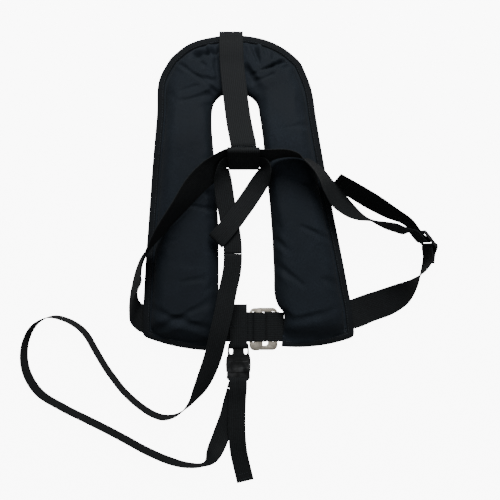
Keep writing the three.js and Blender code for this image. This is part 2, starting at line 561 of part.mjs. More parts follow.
// Crotch strap. The noose starts as the lower layer of the sewn eye, folds back at the eye's end,
// rises through the keeper and comes down through its own eye.
const nooseUp = -7.5;
const NOOSE_ROUTE = [
  [8, 97, 61.5, 0.8, -0.6, 0], [-3, 80.5, 60.9, 0.79, -0.61, 0], [-14, 65, 59.6, 0.76, -0.65, 0],
  [-28, 46, 55.6, 0.74, -0.67, 0], [-42, 29, 55, 0.72, -0.7, 0], [-52, 18, 56.6, 0.72, -0.7, 0],
  [-55, 14.8, 58.4, 0.72, -0.7, 0], [-56, 13.8, 61, 0.72, -0.7, 0], [-55, 14.8, 63.6, 0.72, -0.7, 0],
  [-52, 18, 65.2, 0.72, -0.7, 0], [-42, 29, 67, 0.72, -0.7, 0], [-28, 46, 66.4, 0.74, -0.67, 0],
  [-14, 65, 64.4, 0.76, -0.65, 0], [-3, 80.5, 63.6, 0.79, -0.61, 0], [8, 97, 64.2, 0.83, -0.55, 0.05],
  [16.5, 110, 67.5, 0.85, -0.4, 0.25], [22.6, 121, 72, 0.7, -0.1, 0.6], [26, 130, 75.5, 0.45, 0.2, 0.8],
  [24, 136.3, 75.6, 0.2, 0.36, 0.9], keeperStop(27.5, nooseUp, -beltOut),
  keeperStop(24, nooseUp, -beltOut), keeperStop(0, nooseUp, -beltOut), keeperStop(-24, nooseUp, -beltOut),
  keeperStop(-27, nooseUp, -beltOut), [-41, 136.8, 75.4, -0.2, 0.36, 0.9],
  [-43.8, 130.6, 75.2, -0.42, 0.2, 0.84], [-44, 122.5, 72.5, -0.7, 0, 0.65],
  [-43.5, 110, 68, -0.95, -0.05, 0.3], [-42, 97, 65.4, -1, -0.1, 0.05], [-38.5, 73, 62.8, -1, -0.15, 0],
  [-34, 48, 61.2, -1, -0.2, 0], [-30, 24, 61, -1, -0.1, 0], [-28, 6, 61, -1, -0.02, 0],
  [-27.8, -6, 60.7, -1, 0, 0],
];
add("crotch_noose", ribbon(NOOSE_ROUTE, WEB.crotch), WEBBING);

const CROTCH_ROUTE = [
  [-27.8, -6.6, 60.68, -1, 0, 0], [-27.9, -18, 60, -1, 0.02, 0], [-30, -38, 58.3, -1, 0.12, 0],
  [-36, -65, 56, -1, 0.2, 0], [-43, -101, 55, -1, 0.2, 0], [-52, -139, 50, -1, 0.25, 0],
  [-61, -175, 38, -1, 0.3, 0.1], [-73, -209, 27, -0.95, 0.4, 0.4], [-86, -238, 19, -0.6, 0.5, 0.8],
  [-97, -256, 16.5, -0.25, 0.3, 0.95], [-111, -272, 16, -0.1, 0.15, 1], [-128, -283, 16, 0, 0.1, 1],
  [-147, -286, 16, 0, 0, 1], [-164, -281, 16, 0, 0, 1], [-181, -271, 16, 0, 0, 1],
  [-201, -255, 16, 0, 0, 1], [-218, -238, 16, 0, 0, 1], [-232, -220, 16, 0, 0, 1],
  [-245, -202, 16, 0, 0, 1], [-256, -184, 16, 0, 0, 1], [-267, -165, 16, 0, 0, 1],
  [-276, -149, 16, 0, 0, 1], [-290, -133, 16, 0, 0, 1], [-314, -119, 16, 0, 0, 1],
  [-341, -114, 16, 0, 0, 1], [-368, -128, 16, 0, 0, 1], [-384, -161, 16, 0, 0, 1],
  [-383, -203, 16, 0, 0, 1], [-361, -242, 16, 0, 0, 1], [-319, -269, 16, 0, 0, 1],
  [-277, -290, 16, 0, 0, 1], [-241, -308, 16, 0, 0, 1], [-211, -324, 16, 0, 0, 1],
  [-178, -342, 16, 0, 0, 1], [-139, -359, 16, 0, 0, 1], [-108, -367, 16, 0, 0.1, 1],
  [-80, -366, 16.4, 0.1, 0.2, 1], [-66, -354, 13.4, 0.5, -0.4, 0.75], [-56.5, -337, 6, 0.85, -0.45, 0.25],
  [-47, -313, 2.2, 0.93, -0.36, 0.02], [-37.5, -287, 1.8, 0.95, -0.31, 0],
  [-31.6, -264, 2, 0.96, -0.26, 0], [-27.6, -250, 2.8, 0.97, -0.22, 0],
  [-25.8, -242.2, 3.9, 0.98, -0.2, 0],
];
add("crotch_strap", ribbon(CROTCH_ROUTE, WEB.crotch), WEBBING);

const underZ = RELEASE.z - plugThick / 2 - GAP - WEB.thick / 2;
const overZ = RELEASE.z + plugThick / 2 + GAP + WEB.thick / 2;
const barY = plugTop - 14.1;
const TAIL_ROUTE = [
  [-25.4, -241.1, 4.25, 0.98, -0.2, 0], [-24.2, -236.5, underZ - 0.5, 0.98, -0.18, 0],
  [-21, -228, underZ - 0.2, 1, -0.06, 0], [-20, barY + 0.6, underZ - 0.2, 1, 0, 0],
  [-20, barY + 2.8, underZ, 1, 0, 0], [-20, barY + 4.5, underZ + 1.8, 1, 0, 0],
  [-20, barY + 5, RELEASE.z, 1, 0, 0], [-20, barY + 4.5, overZ - 1.8, 1, 0, 0],
  [-20, barY + 2.8, overZ, 1, 0, 0], [-20, barY, overZ + 0.2, 1, 0, 0], [-20, -232, overZ + 0.2, 1, 0, 0],
  [-20.3, -238.5, overZ - 0.3, 1, 0, 0], [-21, -246, 14.4, 1, 0, 0], [-21.8, -259, 11.4, 1, -0.02, 0],
  [-22.6, -284, 10.2, 1, 0, 0], [-22.7, -309, 10, 1, 0.03, 0], [-21.6, -328, 8.8, 1, 0.06, 0],
  [-19.4, -350, 5, 1, 0.1, 0], [-13.5, -378, 2, 1, 0.15, 0], [-8, -401, 1.4, 1, 0.2, 0],
];
add("crotch_tail", ribbon(TAIL_ROUTE, WEB.crotch), WEBBING);

// ---- bladder and inflation parts inside the cover -------------------------------------------------
/** Folded bladder: a solid pillow that keeps its clearance to the cover all round. */
function bladder() {
  const clear = COVER.wall + 2;
  const rows = [...leftRows, ...collarRows.slice(1), ...rightRows.slice(1)]
    .filter(({ share }) => share > 0.8);
  const tops = topsOf(rows);
  const rings = rows.map(({ outer, inner, share }, i) => {
    const inward = inner.clone().sub(outer).normalize();
    const from = inner.clone().addScaledVector(inward, -clear);
    const to = outer.clone().addScaledVector(inward, COVER.flange + clear);
    const half = ["low", "high"].map((level) => SHARES.slice(1, -1).map((s) => {
      const angle = Math.PI * s;
      const p = from.clone().lerp(to, (1 - squircle(Math.cos(angle), 0.72)) / 2);
      const rise = 0.97 * squircle(Math.sin(angle), 0.8) * share;
      const reach = level === "high" ? tops[i] - COVER.seamZ - clear : clear - COVER.seamZ;
      return V(p.x, p.y, COVER.seamZ + reach * rise);
    }));
    return [...half[0], ...half[1].reverse()];
  });
  return loft(rings, stripCap);
}
const inflatorX = INFLATOR.x;
const inflatorTop = INFLATOR.z + INFLATOR.height / 2;
const bodyEnd = INFLATOR.y + INFLATOR.length / 2; // cylinder end of the body
const leverY = INFLATOR.y - INFLATOR.length / 2 - 6;
const manifoldThick = 4;
const roof = inflatorTop + GAP + manifoldThick + GAP;
const oralRoof = ORAL.z + ORAL.tube / 2 + 5;
/** Box between two corners. */
const span = (x1, x2, y1, y2, z1, z2) =>
  box(x2 - x1, y2 - y1, z2 - z1, (x1 + x2) / 2, (y1 + y2) / 2, (z1 + z2) / 2);
const cylinderFar = bodyEnd + CYLINDER.length;
add("bladder", cut(bladder(),
  span(inflatorX - 31, inflatorX + 43, -170, cylinderFar + 4, -roof, roof),
  span(ORAL.x - 17, ORAL.x + 17, ORAL.y - 75, ORAL.y + ORAL.length + 45, -oralRoof, oralRoof),
), BLADDER);

const stemDia = 10;
add("manifold", join(
  rod("z", 21, 21, manifoldThick, inflatorX, INFLATOR.y, inflatorTop + GAP + manifoldThick / 2, 32),
  rod("z", stemDia / 2, stemDia / 2, INFLATOR.height + 8, inflatorX, INFLATOR.y,
    inflatorTop + GAP + 1 - (INFLATOR.height + 8) / 2 + 1),
), ACETAL);
add("manifold_nut", cut(
  rod("z", 9, 9, 5, inflatorX, INFLATOR.y, INFLATOR.z - INFLATOR.height / 2 - GAP - 2.5, 6),
  rod("z", stemDia / 2 + GAP, stemDia / 2 + GAP, 20,
    inflatorX, INFLATOR.y, INFLATOR.z - INFLATOR.height / 2),
), ACETAL);

const neckRadius = CYLINDER.neck / 2;
const pinRadius = 3;
const pinX = inflatorX - 11; // piston line, beside the manifold stem
const capX = inflatorX + INFLATOR.width / 2;
const bobbinRadius = 6;
function inflatorBody() {
  const { x, y, z, width, length, height } = INFLATOR;
  const block = plate(roundRect(width, length, 6, x, y), height).translate(0, 0, z);
  const ears = [-1, 1].map((s) => box(10, 14, 3, pinX, leverY + 5, z + s * 6));
  return cut(join(block, ...ears),
    rod("z", stemDia / 2 + GAP, stemDia / 2 + GAP, height + 20, x, y, z),
    rod("y", neckRadius + GAP, neckRadius + GAP, 2 * (CYLINDER.neckLength + 1), pinX, bodyEnd, z),
    rod("y", pinRadius + GAP, pinRadius + GAP, length + 4, pinX, y, z),
    rod("x", bobbinRadius + GAP, bobbinRadius + GAP, 2 * 9, capX, y, z),
    rod("z", 2 + GAP, 2 + GAP, 40, pinX, leverY, z, 16),
  );
}
add("inflator_body", inflatorBody(), ACETAL);

const half = CYLINDER.dia / 2;
const neckFoot = bodyEnd - CYLINDER.neckLength;
const far = neckFoot + CYLINDER.length;
add("co2_cylinder", turned("y", [
  [0, neckFoot], [neckRadius, neckFoot], [neckRadius, bodyEnd + 3], [neckRadius + 4, bodyEnd + 7],
  [half - 2, bodyEnd + 16], [half, bodyEnd + 22], [half, far - 12], [half - 5, far - 3],
  [half - 11, far], [0, far],
], pinX, 0, INFLATOR.z, 28), STEEL);

const pinTip = neckFoot - 1.2;
const pinCollarY = pinTip - 14;
const pinFoot = leverY + 5;
add("firing_pin", turned("y", [
  [0, pinFoot], [2.4, pinFoot], [2.4, pinCollarY - 2], [pinRadius, pinCollarY - 2], [pinRadius, pinCollarY],
  [1.4, pinCollarY], [1.4, pinTip - 3], [0, pinTip],
], pinX, 0, INFLATOR.z, 16), BRASS);

/** Return spring round the pin's shank, between the pin's collar and the cylinder's neck. */
function coil(radius, wire, from, to, turns, sides) {
  const points = [];
  for (let i = 0; i <= turns * 10; i++) {
    const a = (i / 10) * 2 * Math.PI;
    points.push(V(radius * Math.cos(a), lerp(from, to, i / (turns * 10)), radius * Math.sin(a)));
  }
  const section = new THREE.Shape();
  section.absarc(0, 0, wire / 2, 0, 2 * Math.PI);
  return new THREE.ExtrudeGeometry(section, {
    steps: turns * 10, curveSegments: sides, extrudePath: new THREE.CatmullRomCurve3(points),
  });
}
const firingCoil = coil(2.2, 0.8, pinCollarY + 0.8, pinTip - 1.2, 4, 5);
add("firing_spring", firingCoil.translate(pinX, 0, INFLATOR.z), STEEL);

const leverArm = 26;
const leverRadius = 4.6;
const CAM_ANGLE = Math.PI * 5 / 6; // the cam faces the pin after the lever's 60 degree pull
function lever() {
  const hub = rod("z", leverRadius, leverRadius, 8.2, pinX, leverY, INFLATOR.z, 20);
  const arm = box(leverArm, 6, 8.2, pinX + leverArm / 2, leverY - 1, INFLATOR.z);
  const eye = rod("z", 4.5, 4.5, 8.2, pinX + leverArm, leverY - 1, INFLATOR.z, 16);
  const camX = pinX + 3.6 * Math.cos(CAM_ANGLE);
  const camY = leverY + 3.6 * Math.sin(CAM_ANGLE);
  const cam = rod("z", 2, 2, 8.2, camX, camY, INFLATOR.z, 12);
  return cut(join(hub, arm, eye, cam),
    rod("z", 2 + GAP, 2 + GAP, 20, pinX, leverY, INFLATOR.z, 16),
    rod("z", 2, 2, 20, pinX + leverArm, leverY - 1, INFLATOR.z, 12),
  );
}
add("lever", lever(), ACETAL);
add("lever_pin", rod("z", 2, 2, 15, pinX, leverY, INFLATOR.z, 16), STEEL);
add("safety_clip", box(5, 4, 12, pinX + 12, leverY - 6.4, INFLATOR.z), SAFETY_GREEN);

add("auto_cap", turned("x", [
  [0, 17], [10.5, 17], [12, 15.5], [12, 0], [7, 0], [7, 14], [0, 14],
].map(([r, h]) => [r, h + capX + GAP]), 0, INFLATOR.y, INFLATOR.z, 28), ACETAL);
add("bobbin", turned("x", [[0, -8], [bobbinRadius, -8], [bobbinRadius, 13], [0, 13]]
  .map(([r, h]) => [r, h + capX]), 0, INFLATOR.y, INFLATOR.z, 20), SIGNAL_ORANGE);

const lanyardX = pinX + leverArm;
const lanyardTop = leverY - 1 - 4.5 - GAP;
const togglePull = 28;
add("pull_lanyard", rod("y", 1.5, 1.5, 22, lanyardX, lanyardTop - 11, INFLATOR.z, 10), SIGNAL_RED);
const toggleTop = lanyardTop - 22 - GAP;
const toggleShape = roundRect(16, 24, 5, lanyardX, toggleTop - 12);
add("pull_toggle", plate(toggleShape, 8).translate(0, 0, INFLATOR.z), SIGNAL_RED);

// Oral inflation tube in the right lobe, with its spring-loaded valve under a dust cap.
const tubeTop = ORAL.y + ORAL.length;
const outer = ORAL.tube / 2;
const bore = ORAL.bore / 2;
const bodyRadius = 8.5;
const oral = (profile, sides = 24) => turned("y", profile, ORAL.x, 0, ORAL.z, sides);
add("oral_base", oral([[bore, ORAL.y - 4], [10, ORAL.y - 4], [10, ORAL.y - 1], [outer + 1, ORAL.y],
  [outer + 1, ORAL.y + 6], [outer + GAP, ORAL.y + 6], [outer + GAP, ORAL.y - 1.5], [bore, ORAL.y - 1.5],
  [bore, ORAL.y - 4]]), BLADDER);
add("oral_tube", oral([[bore, ORAL.y - 1], [outer, ORAL.y - 1], [outer, tubeTop], [bore, tubeTop],
  [bore, ORAL.y - 1]]), BINDING_TAPE);
const seatY = tubeTop + 10;
add("oral_valve_body", oral([[bore, tubeTop + GAP], [bodyRadius, tubeTop + GAP], [bodyRadius, tubeTop + 20],
  [3, tubeTop + 20], [3, seatY + 4], [6.2, seatY + 4], [6.2, tubeTop + 3], [bore, tubeTop + 3],
  [bore, tubeTop + GAP]]), ACETAL);
add("oral_poppet", oral([
  [0, seatY - 1], [5, seatY - 1], [5, seatY + 3.6], [2.6, seatY + 3.6], [2.6, tubeTop + 22],
  [0, tubeTop + 22],
], 20), SIGNAL_RED);
add("oral_spring", coil(4.7, 0.9, tubeTop + 3.9, seatY - 1.8, 3, 5).translate(ORAL.x, 0, ORAL.z), STEEL);
add("oral_cap", oral([[0, tubeTop + 27], [9.5, tubeTop + 27], [10.5, tubeTop + 26], [10.5, tubeTop + 12],
  [bodyRadius + GAP, tubeTop + 12], [bodyRadius + GAP, tubeTop + 24.5], [0, tubeTop + 24.5]]), SIGNAL_RED);

const whistleX = ORAL.x - 2;
const whistleY = ORAL.y - 34;
function whistle() {
  const barrel = rod("z", 9, 9, 14, whistleX, whistleY, ORAL.z, 28);
  const mouth = box(9, 26, 14, whistleX + 4.5, whistleY - 12, ORAL.z);
  return cut(join(barrel, mouth),
    rod("z", 7, 7, 10, whistleX, whistleY, ORAL.z, 24),
    box(4, 30, 10, whistleX + 4.5, whistleY - 14, ORAL.z),
    box(8, 5, 30, whistleX + 5, whistleY - 4, ORAL.z + 12),
  );
}
add("whistle", whistle(), SIGNAL_ORANGE);

// Origin under the middle of the object without its free strap.
const bounds = new THREE.Box3();
jacket.updateMatrixWorld(true);
for (const mesh of jacket.children) {
  if (!cordNames.has(mesh.name)) bounds.expandByObject(mesh, true);
}
const middle = bounds.getCenter(new THREE.Vector3());
jacket.position.set(-middle.x, -middle.y, -bounds.min.z);

export default jacket;
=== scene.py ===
import logging
import math
from dataclasses import dataclass, field
from enum import Enum
from typing import Iterable, Optional, Sequence

import bmesh
import bpy
import numpy as np
from mathutils import Matrix, Vector, noise


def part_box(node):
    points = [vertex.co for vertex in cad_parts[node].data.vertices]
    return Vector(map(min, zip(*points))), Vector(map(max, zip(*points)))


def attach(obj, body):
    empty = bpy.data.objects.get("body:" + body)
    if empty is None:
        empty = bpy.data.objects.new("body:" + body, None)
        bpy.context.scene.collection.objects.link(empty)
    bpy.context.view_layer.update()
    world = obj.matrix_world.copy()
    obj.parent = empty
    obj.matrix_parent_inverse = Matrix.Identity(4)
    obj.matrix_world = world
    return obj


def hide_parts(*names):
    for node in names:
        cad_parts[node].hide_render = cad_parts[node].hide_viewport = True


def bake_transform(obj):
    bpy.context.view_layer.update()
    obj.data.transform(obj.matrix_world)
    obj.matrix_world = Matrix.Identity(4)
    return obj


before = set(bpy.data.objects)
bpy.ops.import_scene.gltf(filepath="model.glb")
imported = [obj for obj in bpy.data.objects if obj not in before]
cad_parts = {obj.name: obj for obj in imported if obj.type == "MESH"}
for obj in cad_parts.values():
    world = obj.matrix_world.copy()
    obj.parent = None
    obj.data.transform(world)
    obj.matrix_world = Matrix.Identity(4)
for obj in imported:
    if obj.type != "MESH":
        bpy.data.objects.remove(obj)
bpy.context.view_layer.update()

LOG = logging.getLogger("life_jacket")
MM = 0.001
SEAM_Z = 18.0  # height of the parting plane of the cover
WEB_THICK = 2.0
GAP = 0.3


class Body(str, Enum):
    """Rigid bodies that the visible pieces ride on."""

    JACKET = "jacket"
    PLUG = "plug"


# ---- drawing frame -----------------------------------------------------------------------------
@dataclass(frozen=True)
class Drawing:
    """Turns drawing millimetres into the row frame's metres."""

    ring_x: float = 26.6
    front_y: float = -135.0

    def shift(self) -> Vector:
        """Row-frame place of the drawing's origin, read from the buckle ring.

        Returns:
            The origin in metres.
        """
        low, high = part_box("buckle_ring")
        middle = (low + high) / 2
        return Vector((middle.x - self.ring_x * MM, middle.y - self.front_y * MM, 0.0))

    def place(self, points: np.ndarray) -> np.ndarray:
        """Move drawing points to the row frame.

        Args:
            points: Rows of x, y, z in millimetres.

        Returns:
            The same rows in metres.
        """
        return np.asarray(points, float).reshape(-1, 3) * MM + np.array(self.shift())


DRAWING = Drawing()


# ---- shader helpers ----------------------------------------------------------------------------
def linear(code: str, alpha: float = 1.0) -> tuple[float, float, float, float]:
    """Turn an sRGB hex colour into linear light.

    Args:
        code: Colour such as "#14181c".
        alpha: Opacity.

    Returns:
        Linear red, green, blue and alpha.
    """
    parts = [int(code[i : i + 2], 16) / 255 for i in (1, 3, 5)]
    low = [c / 12.92 if c <= 0.04045 else ((c + 0.055) / 1.055) ** 2.4 for c in parts]
    return (low[0], low[1], low[2], alpha)


def add_node(tree: bpy.types.NodeTree, kind: str, inputs: Optional[dict] = None,
             **settings) -> bpy.types.Node:
    """Add a shader node, set its settings and fill or link its inputs.

    Args:
        tree: Node tree to add to.
        kind: Node type, such as "ShaderNodeMath".
        inputs: Socket name or index to a value, or to another node's output socket.
        **settings: Node properties, such as operation="SINE".

    Returns:
        The new node.
    """
    made = tree.nodes.new(kind)
    for name, value in settings.items():
        setattr(made, name, value)
    for key, value in (inputs or {}).items():
        socket = made.inputs[key]
        if isinstance(value, bpy.types.NodeSocket):
            tree.links.new(value, socket)
        else:
            socket.default_value = value
    return made


@dataclass(frozen=True)
class Finish:
    """Base of every finish: makes its material once and gives it to pieces."""

    name: str
    colour: str
    roughness: float

    def material(self) -> bpy.types.Material:
        """The finish's material, made the first time it is asked for.

        Returns:
            The material.
        """
        found = bpy.data.materials.get(self.name)
        if found:
            return found
        made = bpy.data.materials.new(self.name)
        made.use_nodes = True
        tree = made.node_tree
        shader = tree.nodes["Principled BSDF"]
        shader.inputs["Roughness"].default_value = self.roughness
        shader.inputs["Base Color"].default_value = linear(self.colour)
        self.dress(tree, shader)
        made.diffuse_color = linear(self.colour)
        return made

    def dress(self, tree: bpy.types.NodeTree, shader: bpy.types.Node) -> None:
        """Add the finish's own pattern; a plain finish has none."""

    def put_on(self, obj: bpy.types.Object) -> bpy.types.Object:
        """Give a piece this finish.

        Args:
            obj: Mesh piece.

        Returns:
            The same piece.
        """
        obj.data.materials.clear()
        obj.data.materials.append(self.material())
        return obj


def mixed(tree: bpy.types.NodeTree, factor: bpy.types.NodeSocket,
          low: str, high: str) -> bpy.types.NodeSocket:
    """Blend two hex colours by a factor socket.

    Args:
        tree: Node tree.
        factor: Factor from 0 to 1.
        low: Colour at 0.
        high: Colour at 1.

    Returns:
        Colour output.
    """
    blend = add_node(tree, "ShaderNodeMix", {0: factor, 6: linear(low), 7: linear(high)}, data_type="RGBA")
    return blend.outputs[2]


def rising(tree: bpy.types.NodeTree, value: bpy.types.NodeSocket, low: float, high: float,
           to_low: float = 0.0, to_high: float = 1.0) -> bpy.types.NodeSocket:
    """Map a value's range onto another, held at both ends.

    Args:
        tree: Node tree.
        value: Input socket.
        low: Input at the low end.
        high: Input at the high end.
        to_low: Output at the low end.
        to_high: Output at the high end.

    Returns:
        Mapped socket.
    """
    mapped = add_node(tree, "ShaderNodeMapRange",
                      {"Value": value, "From Min": low, "From Max": high,
                       "To Min": to_low, "To Max": to_high})
    return mapped.outputs["Result"]


def ripple(tree: bpy.types.NodeTree, along: bpy.types.NodeSocket, pitch_mm: float) -> bpy.types.NodeSocket:
    """Sine ripple of a real pitch along one coordinate in metres.

    Args:
        tree: Node tree.
        along: Coordinate socket.
        pitch_mm: Distance from one crest to the next.

    Returns:
        Wave from -1 to 1.
    """
    phase = add_node(tree, "ShaderNodeMath", {0: along, 1: 2 * math.pi / (pitch_mm * MM)},
                     operation="MULTIPLY")
    return add_node(tree, "ShaderNodeMath", {0: phase.outputs[0]}, operation="SINE").outputs[0]


def axes(tree: bpy.types.NodeTree, source: str) -> tuple[bpy.types.NodeSocket, ...]:
    """Split a texture coordinate into its axes.

    Args:
        tree: Node tree.
        source: Output of the texture coordinate node, such as "UV".

    Returns:
        The X, Y and Z sockets.
    """
    coords = add_node(tree, "ShaderNodeTexCoord")
    split = add_node(tree, "ShaderNodeSeparateXYZ", {0: coords.outputs[source]})
    return split.outputs[0], split.outputs[1], split.outputs[2]


@dataclass(frozen=True)
class WovenNylon(Finish):
    """Polyurethane-backed nylon oxford, plain weave: a matt, faintly sheened cloth with fine threads."""

    thread_mm: float = 1.1  # real threads are about 0.5 mm; drawn at twice that so that they show
    light: str = "#23292f"
    bump: float = 0.16
    sheen: float = 0.01
    shine: float = 0.06

    def dress(self, tree: bpy.types.NodeTree, shader: bpy.types.Node) -> None:
        """Weave, faded patches, handling marks and a soft sheen."""
        x, y, z = axes(tree, "Object")
        across = add_node(tree, "ShaderNodeMath", {0: x, 1: z}, operation="ADD").outputs[0]
        weave = add_node(tree, "ShaderNodeMath",
                         {0: ripple(tree, across, self.thread_mm), 1: ripple(tree, y, self.thread_mm)},
                         operation="MULTIPLY").outputs[0]
        coords = add_node(tree, "ShaderNodeTexCoord").outputs["Object"]
        patches = add_node(tree, "ShaderNodeTexNoise",
                           {"Vector": coords, "Scale": 14.0, "Detail": 6.0, "Roughness": 0.6}).outputs["Fac"]
        slubs = add_node(tree, "ShaderNodeTexNoise",
                         {"Vector": coords, "Scale": 420.0, "Detail": 3.0, "Roughness": 0.7}).outputs["Fac"]
        tone = add_node(tree, "ShaderNodeMath",
                        {0: rising(tree, patches, 0.35, 0.7), 1: rising(tree, slubs, 0.3, 0.75)},
                        operation="MULTIPLY").outputs[0]
        worn = add_node(tree, "ShaderNodeMath", {0: rising(tree, weave, -1, 1, 0, 0.35), 1: tone},
                        operation="ADD")
        tree.links.new(mixed(tree, worn.outputs[0], self.colour, self.light), shader.inputs["Base Color"])
        rough = rising(tree, patches, 0.3, 0.7, self.roughness - 0.08, min(1.0, self.roughness + 0.08))
        tree.links.new(rough, shader.inputs["Roughness"])
        puckers = add_node(tree, "ShaderNodeTexNoise",
                           {"Vector": coords, "Scale": 85.0, "Detail": 4.0,
                            "Roughness": 0.55}).outputs["Fac"]
        height = add_node(tree, "ShaderNodeMath", {0: rising(tree, weave, -1, 1, 0, 0.12), 1: puckers},
                          operation="ADD")
        relief = add_node(tree, "ShaderNodeBump",
                          {"Strength": self.bump, "Distance": 0.003, "Height": height.outputs[0]})
        tree.links.new(relief.outputs[0], shader.inputs["Normal"])
        shader.inputs["Sheen Weight"].default_value = self.sheen
        shader.inputs["Sheen Roughness"].default_value = 0.5
        shader.inputs["IOR"].default_value = 1.53
        shader.inputs["Specular IOR Level"].default_value = self.shine


@dataclass(frozen=True)
class Webbing(Finish):
    """Woven polyester harness webbing: cords along it, a rib across, with painted shade down in the weave.
    """

    rib_mm: float = 2.4  # picks across the strap
    cord_mm: float = 3.1  # warp bundles along it
    light: str = "#2c2f31"
    bump: float = 0.5

    def dress(self, tree: bpy.types.NodeTree, shader: bpy.types.Node) -> None:
        """Ribs from the strap's own length and width, lighter on their crests and darker down in the weave:
        painted light and shade of the weave's relief, broken up by rubbed wear.
        """
        across, along, _ = axes(tree, "UV")
        bundles = ripple(tree, across, self.cord_mm)
        slant = add_node(tree, "ShaderNodeMath", {0: bundles, 1: 0.0005}, operation="MULTIPLY").outputs[0]
        stagger = add_node(tree, "ShaderNodeMath", {0: along, 1: slant}, operation="ADD").outputs[0]
        picks = ripple(tree, stagger, self.rib_mm)
        weave = add_node(tree, "ShaderNodeMath", {0: bundles, 1: picks}, operation="ADD").outputs[0]
        coords = add_node(tree, "ShaderNodeTexCoord").outputs["Object"]
        fuzz = add_node(tree, "ShaderNodeTexNoise",
                        {"Vector": coords, "Scale": 260.0, "Detail": 5.0, "Roughness": 0.7}).outputs["Fac"]
        # painted shade and highlight: colour follows the weave's height, dark in its hollows and light on
        # its crests; the fuzz noise adds rubbed wear
        weave_shade_and_rub = add_node(tree, "ShaderNodeMath",
                         {0: rising(tree, weave, -1.2, 2.0), 1: rising(tree, fuzz, 0.2, 0.8)},
                         operation="MULTIPLY").outputs[0]
        tree.links.new(mixed(tree, weave_shade_and_rub, self.colour, self.light), shader.inputs["Base Color"])
        height = add_node(tree, "ShaderNodeMath", {0: rising(tree, weave, -2, 2), 1: fuzz},
                          operation="ADD").outputs[0]
        relief = add_node(tree, "ShaderNodeBump",
                          {"Strength": self.bump, "Distance": 0.0006, "Height": height})
        tree.links.new(relief.outputs[0], shader.inputs["Normal"])
        tree.links.new(rising(tree, fuzz, 0.2, 0.8, self.roughness - 0.1, self.roughness + 0.08),
                       shader.inputs["Roughness"])
        shader.inputs["Sheen Weight"].default_value = 0.01
        shader.inputs["Sheen Roughness"].default_value = 0.4
        shader.inputs["IOR"].default_value = 1.57
        shader.inputs["Specular IOR Level"].default_value = 0.08


@dataclass(frozen=True)
class MouldedAcetal(Finish):
    """Injection-moulded acetal with a spark-eroded texture: satin, slightly waxy, scuffed on its edges."""

    grain_mm: float = 0.7
    scuff: str = "#4a4b4c"

    def dress(self, tree: bpy.types.NodeTree, shader: bpy.types.Node) -> None:
        """Fine grain, slow gloss change and scuffs on sharp edges."""
        coords = add_node(tree, "ShaderNodeTexCoord").outputs["Object"]
        grain = add_node(tree, "ShaderNodeTexNoise",
                         {"Vector": coords, "Scale": 1 / (self.grain_mm * MM), "Detail": 2.0}).outputs["Fac"]
        cloud = add_node(tree, "ShaderNodeTexNoise",
                         {"Vector": coords, "Scale": 60.0, "Detail": 5.0}).outputs["Fac"]
        edges = add_node(tree, "ShaderNodeNewGeometry").outputs["Pointiness"]
        rub = add_node(tree, "ShaderNodeMath",
                       {0: rising(tree, edges, 0.52, 0.6), 1: rising(tree, cloud, 0.4, 0.7)},
                       operation="MULTIPLY").outputs[0]
        tree.links.new(mixed(tree, rub, self.colour, self.scuff), shader.inputs["Base Color"])
        tree.links.new(rising(tree, cloud, 0.3, 0.7, self.roughness - 0.07, self.roughness + 0.1),
                       shader.inputs["Roughness"])
        relief = add_node(tree, "ShaderNodeBump", {"Strength": 0.25, "Distance": 0.0002, "Height": grain})
        tree.links.new(relief.outputs[0], shader.inputs["Normal"])
        shader.inputs["IOR"].default_value = 1.48
        shader.inputs["Specular IOR Level"].default_value = 0.12


@dataclass(frozen=True)
class TumbledSteel(Finish):
    """Stamped stainless, tumbled then brushed along one way: warm grey with fine hair-line scratches."""

    scratch_mm: float = 0.8
    dark: str = "#6f6b63"

    def dress(self, tree: bpy.types.NodeTree, shader: bpy.types.Node) -> None:
        """Stretched scratches that change gloss and tone, over slow clouding."""
        coords = add_node(tree, "ShaderNodeTexCoord").outputs["Object"]
        stretched = add_node(tree, "ShaderNodeMapping",
                             {"Vector": coords, "Scale": (1.0, 0.06, 1.0)}).outputs[0]
        lines = add_node(tree, "ShaderNodeTexNoise",
                         {"Vector": stretched, "Scale": 1 / (self.scratch_mm * MM),
                          "Detail": 4.0}).outputs["Fac"]
        cloud = add_node(tree, "ShaderNodeTexNoise",
                         {"Vector": coords, "Scale": 70.0, "Detail": 6.0}).outputs["Fac"]
        tree.links.new(mixed(tree, rising(tree, cloud, 0.3, 0.75), self.dark, self.colour),
                       shader.inputs["Base Color"])
        tree.links.new(rising(tree, lines, 0.3, 0.7, self.roughness - 0.1, self.roughness + 0.12),
                       shader.inputs["Roughness"])
        relief = add_node(tree, "ShaderNodeBump", {"Strength": 0.2, "Distance": 0.0002, "Height": lines})
        tree.links.new(relief.outputs[0], shader.inputs["Normal"])
        shader.inputs["Metallic"].default_value = 1.0


COVER_CLOTH = WovenNylon("nylon_oxford_navy_black", "#0b0f13", 0.74, light="#171c22")
BINDING_TAPE = WovenNylon("polyester_binding_tape", "#08090b", 0.82,
                          thread_mm=1.6, light="#15181b", bump=0.3)
BLADDER_CLOTH = WovenNylon("coated_bladder_cloth", "#d9ab12", 0.55, light="#f0c62e")
HARNESS_WEB = Webbing("polyester_webbing_black", "#08090a", 0.78, light="#1d2022")
THREAD = WovenNylon("bonded_nylon_thread", "#141619", 0.55, thread_mm=0.9, light="#33383c", bump=0.4)
ACETAL = MouldedAcetal("moulded_acetal_black", "#08090a", 0.45)
SAFETY_GREEN = MouldedAcetal("moulded_clip_green", "#2f9e44", 0.45, scuff="#6fc981")
SIGNAL_RED = MouldedAcetal("moulded_handle_red", "#c4281c", 0.45, scuff="#e0685f")
SIGNAL_ORANGE = MouldedAcetal("moulded_whistle_orange", "#e86a1a", 0.42, scuff="#f29a62")
STAINLESS = TumbledSteel("tumbled_stainless", "#b3ada1", 0.34, dark="#7d786e")
ZINC_STEEL = TumbledSteel("zinc_plated_steel", "#a9acae", 0.38, dark="#7b7e80")
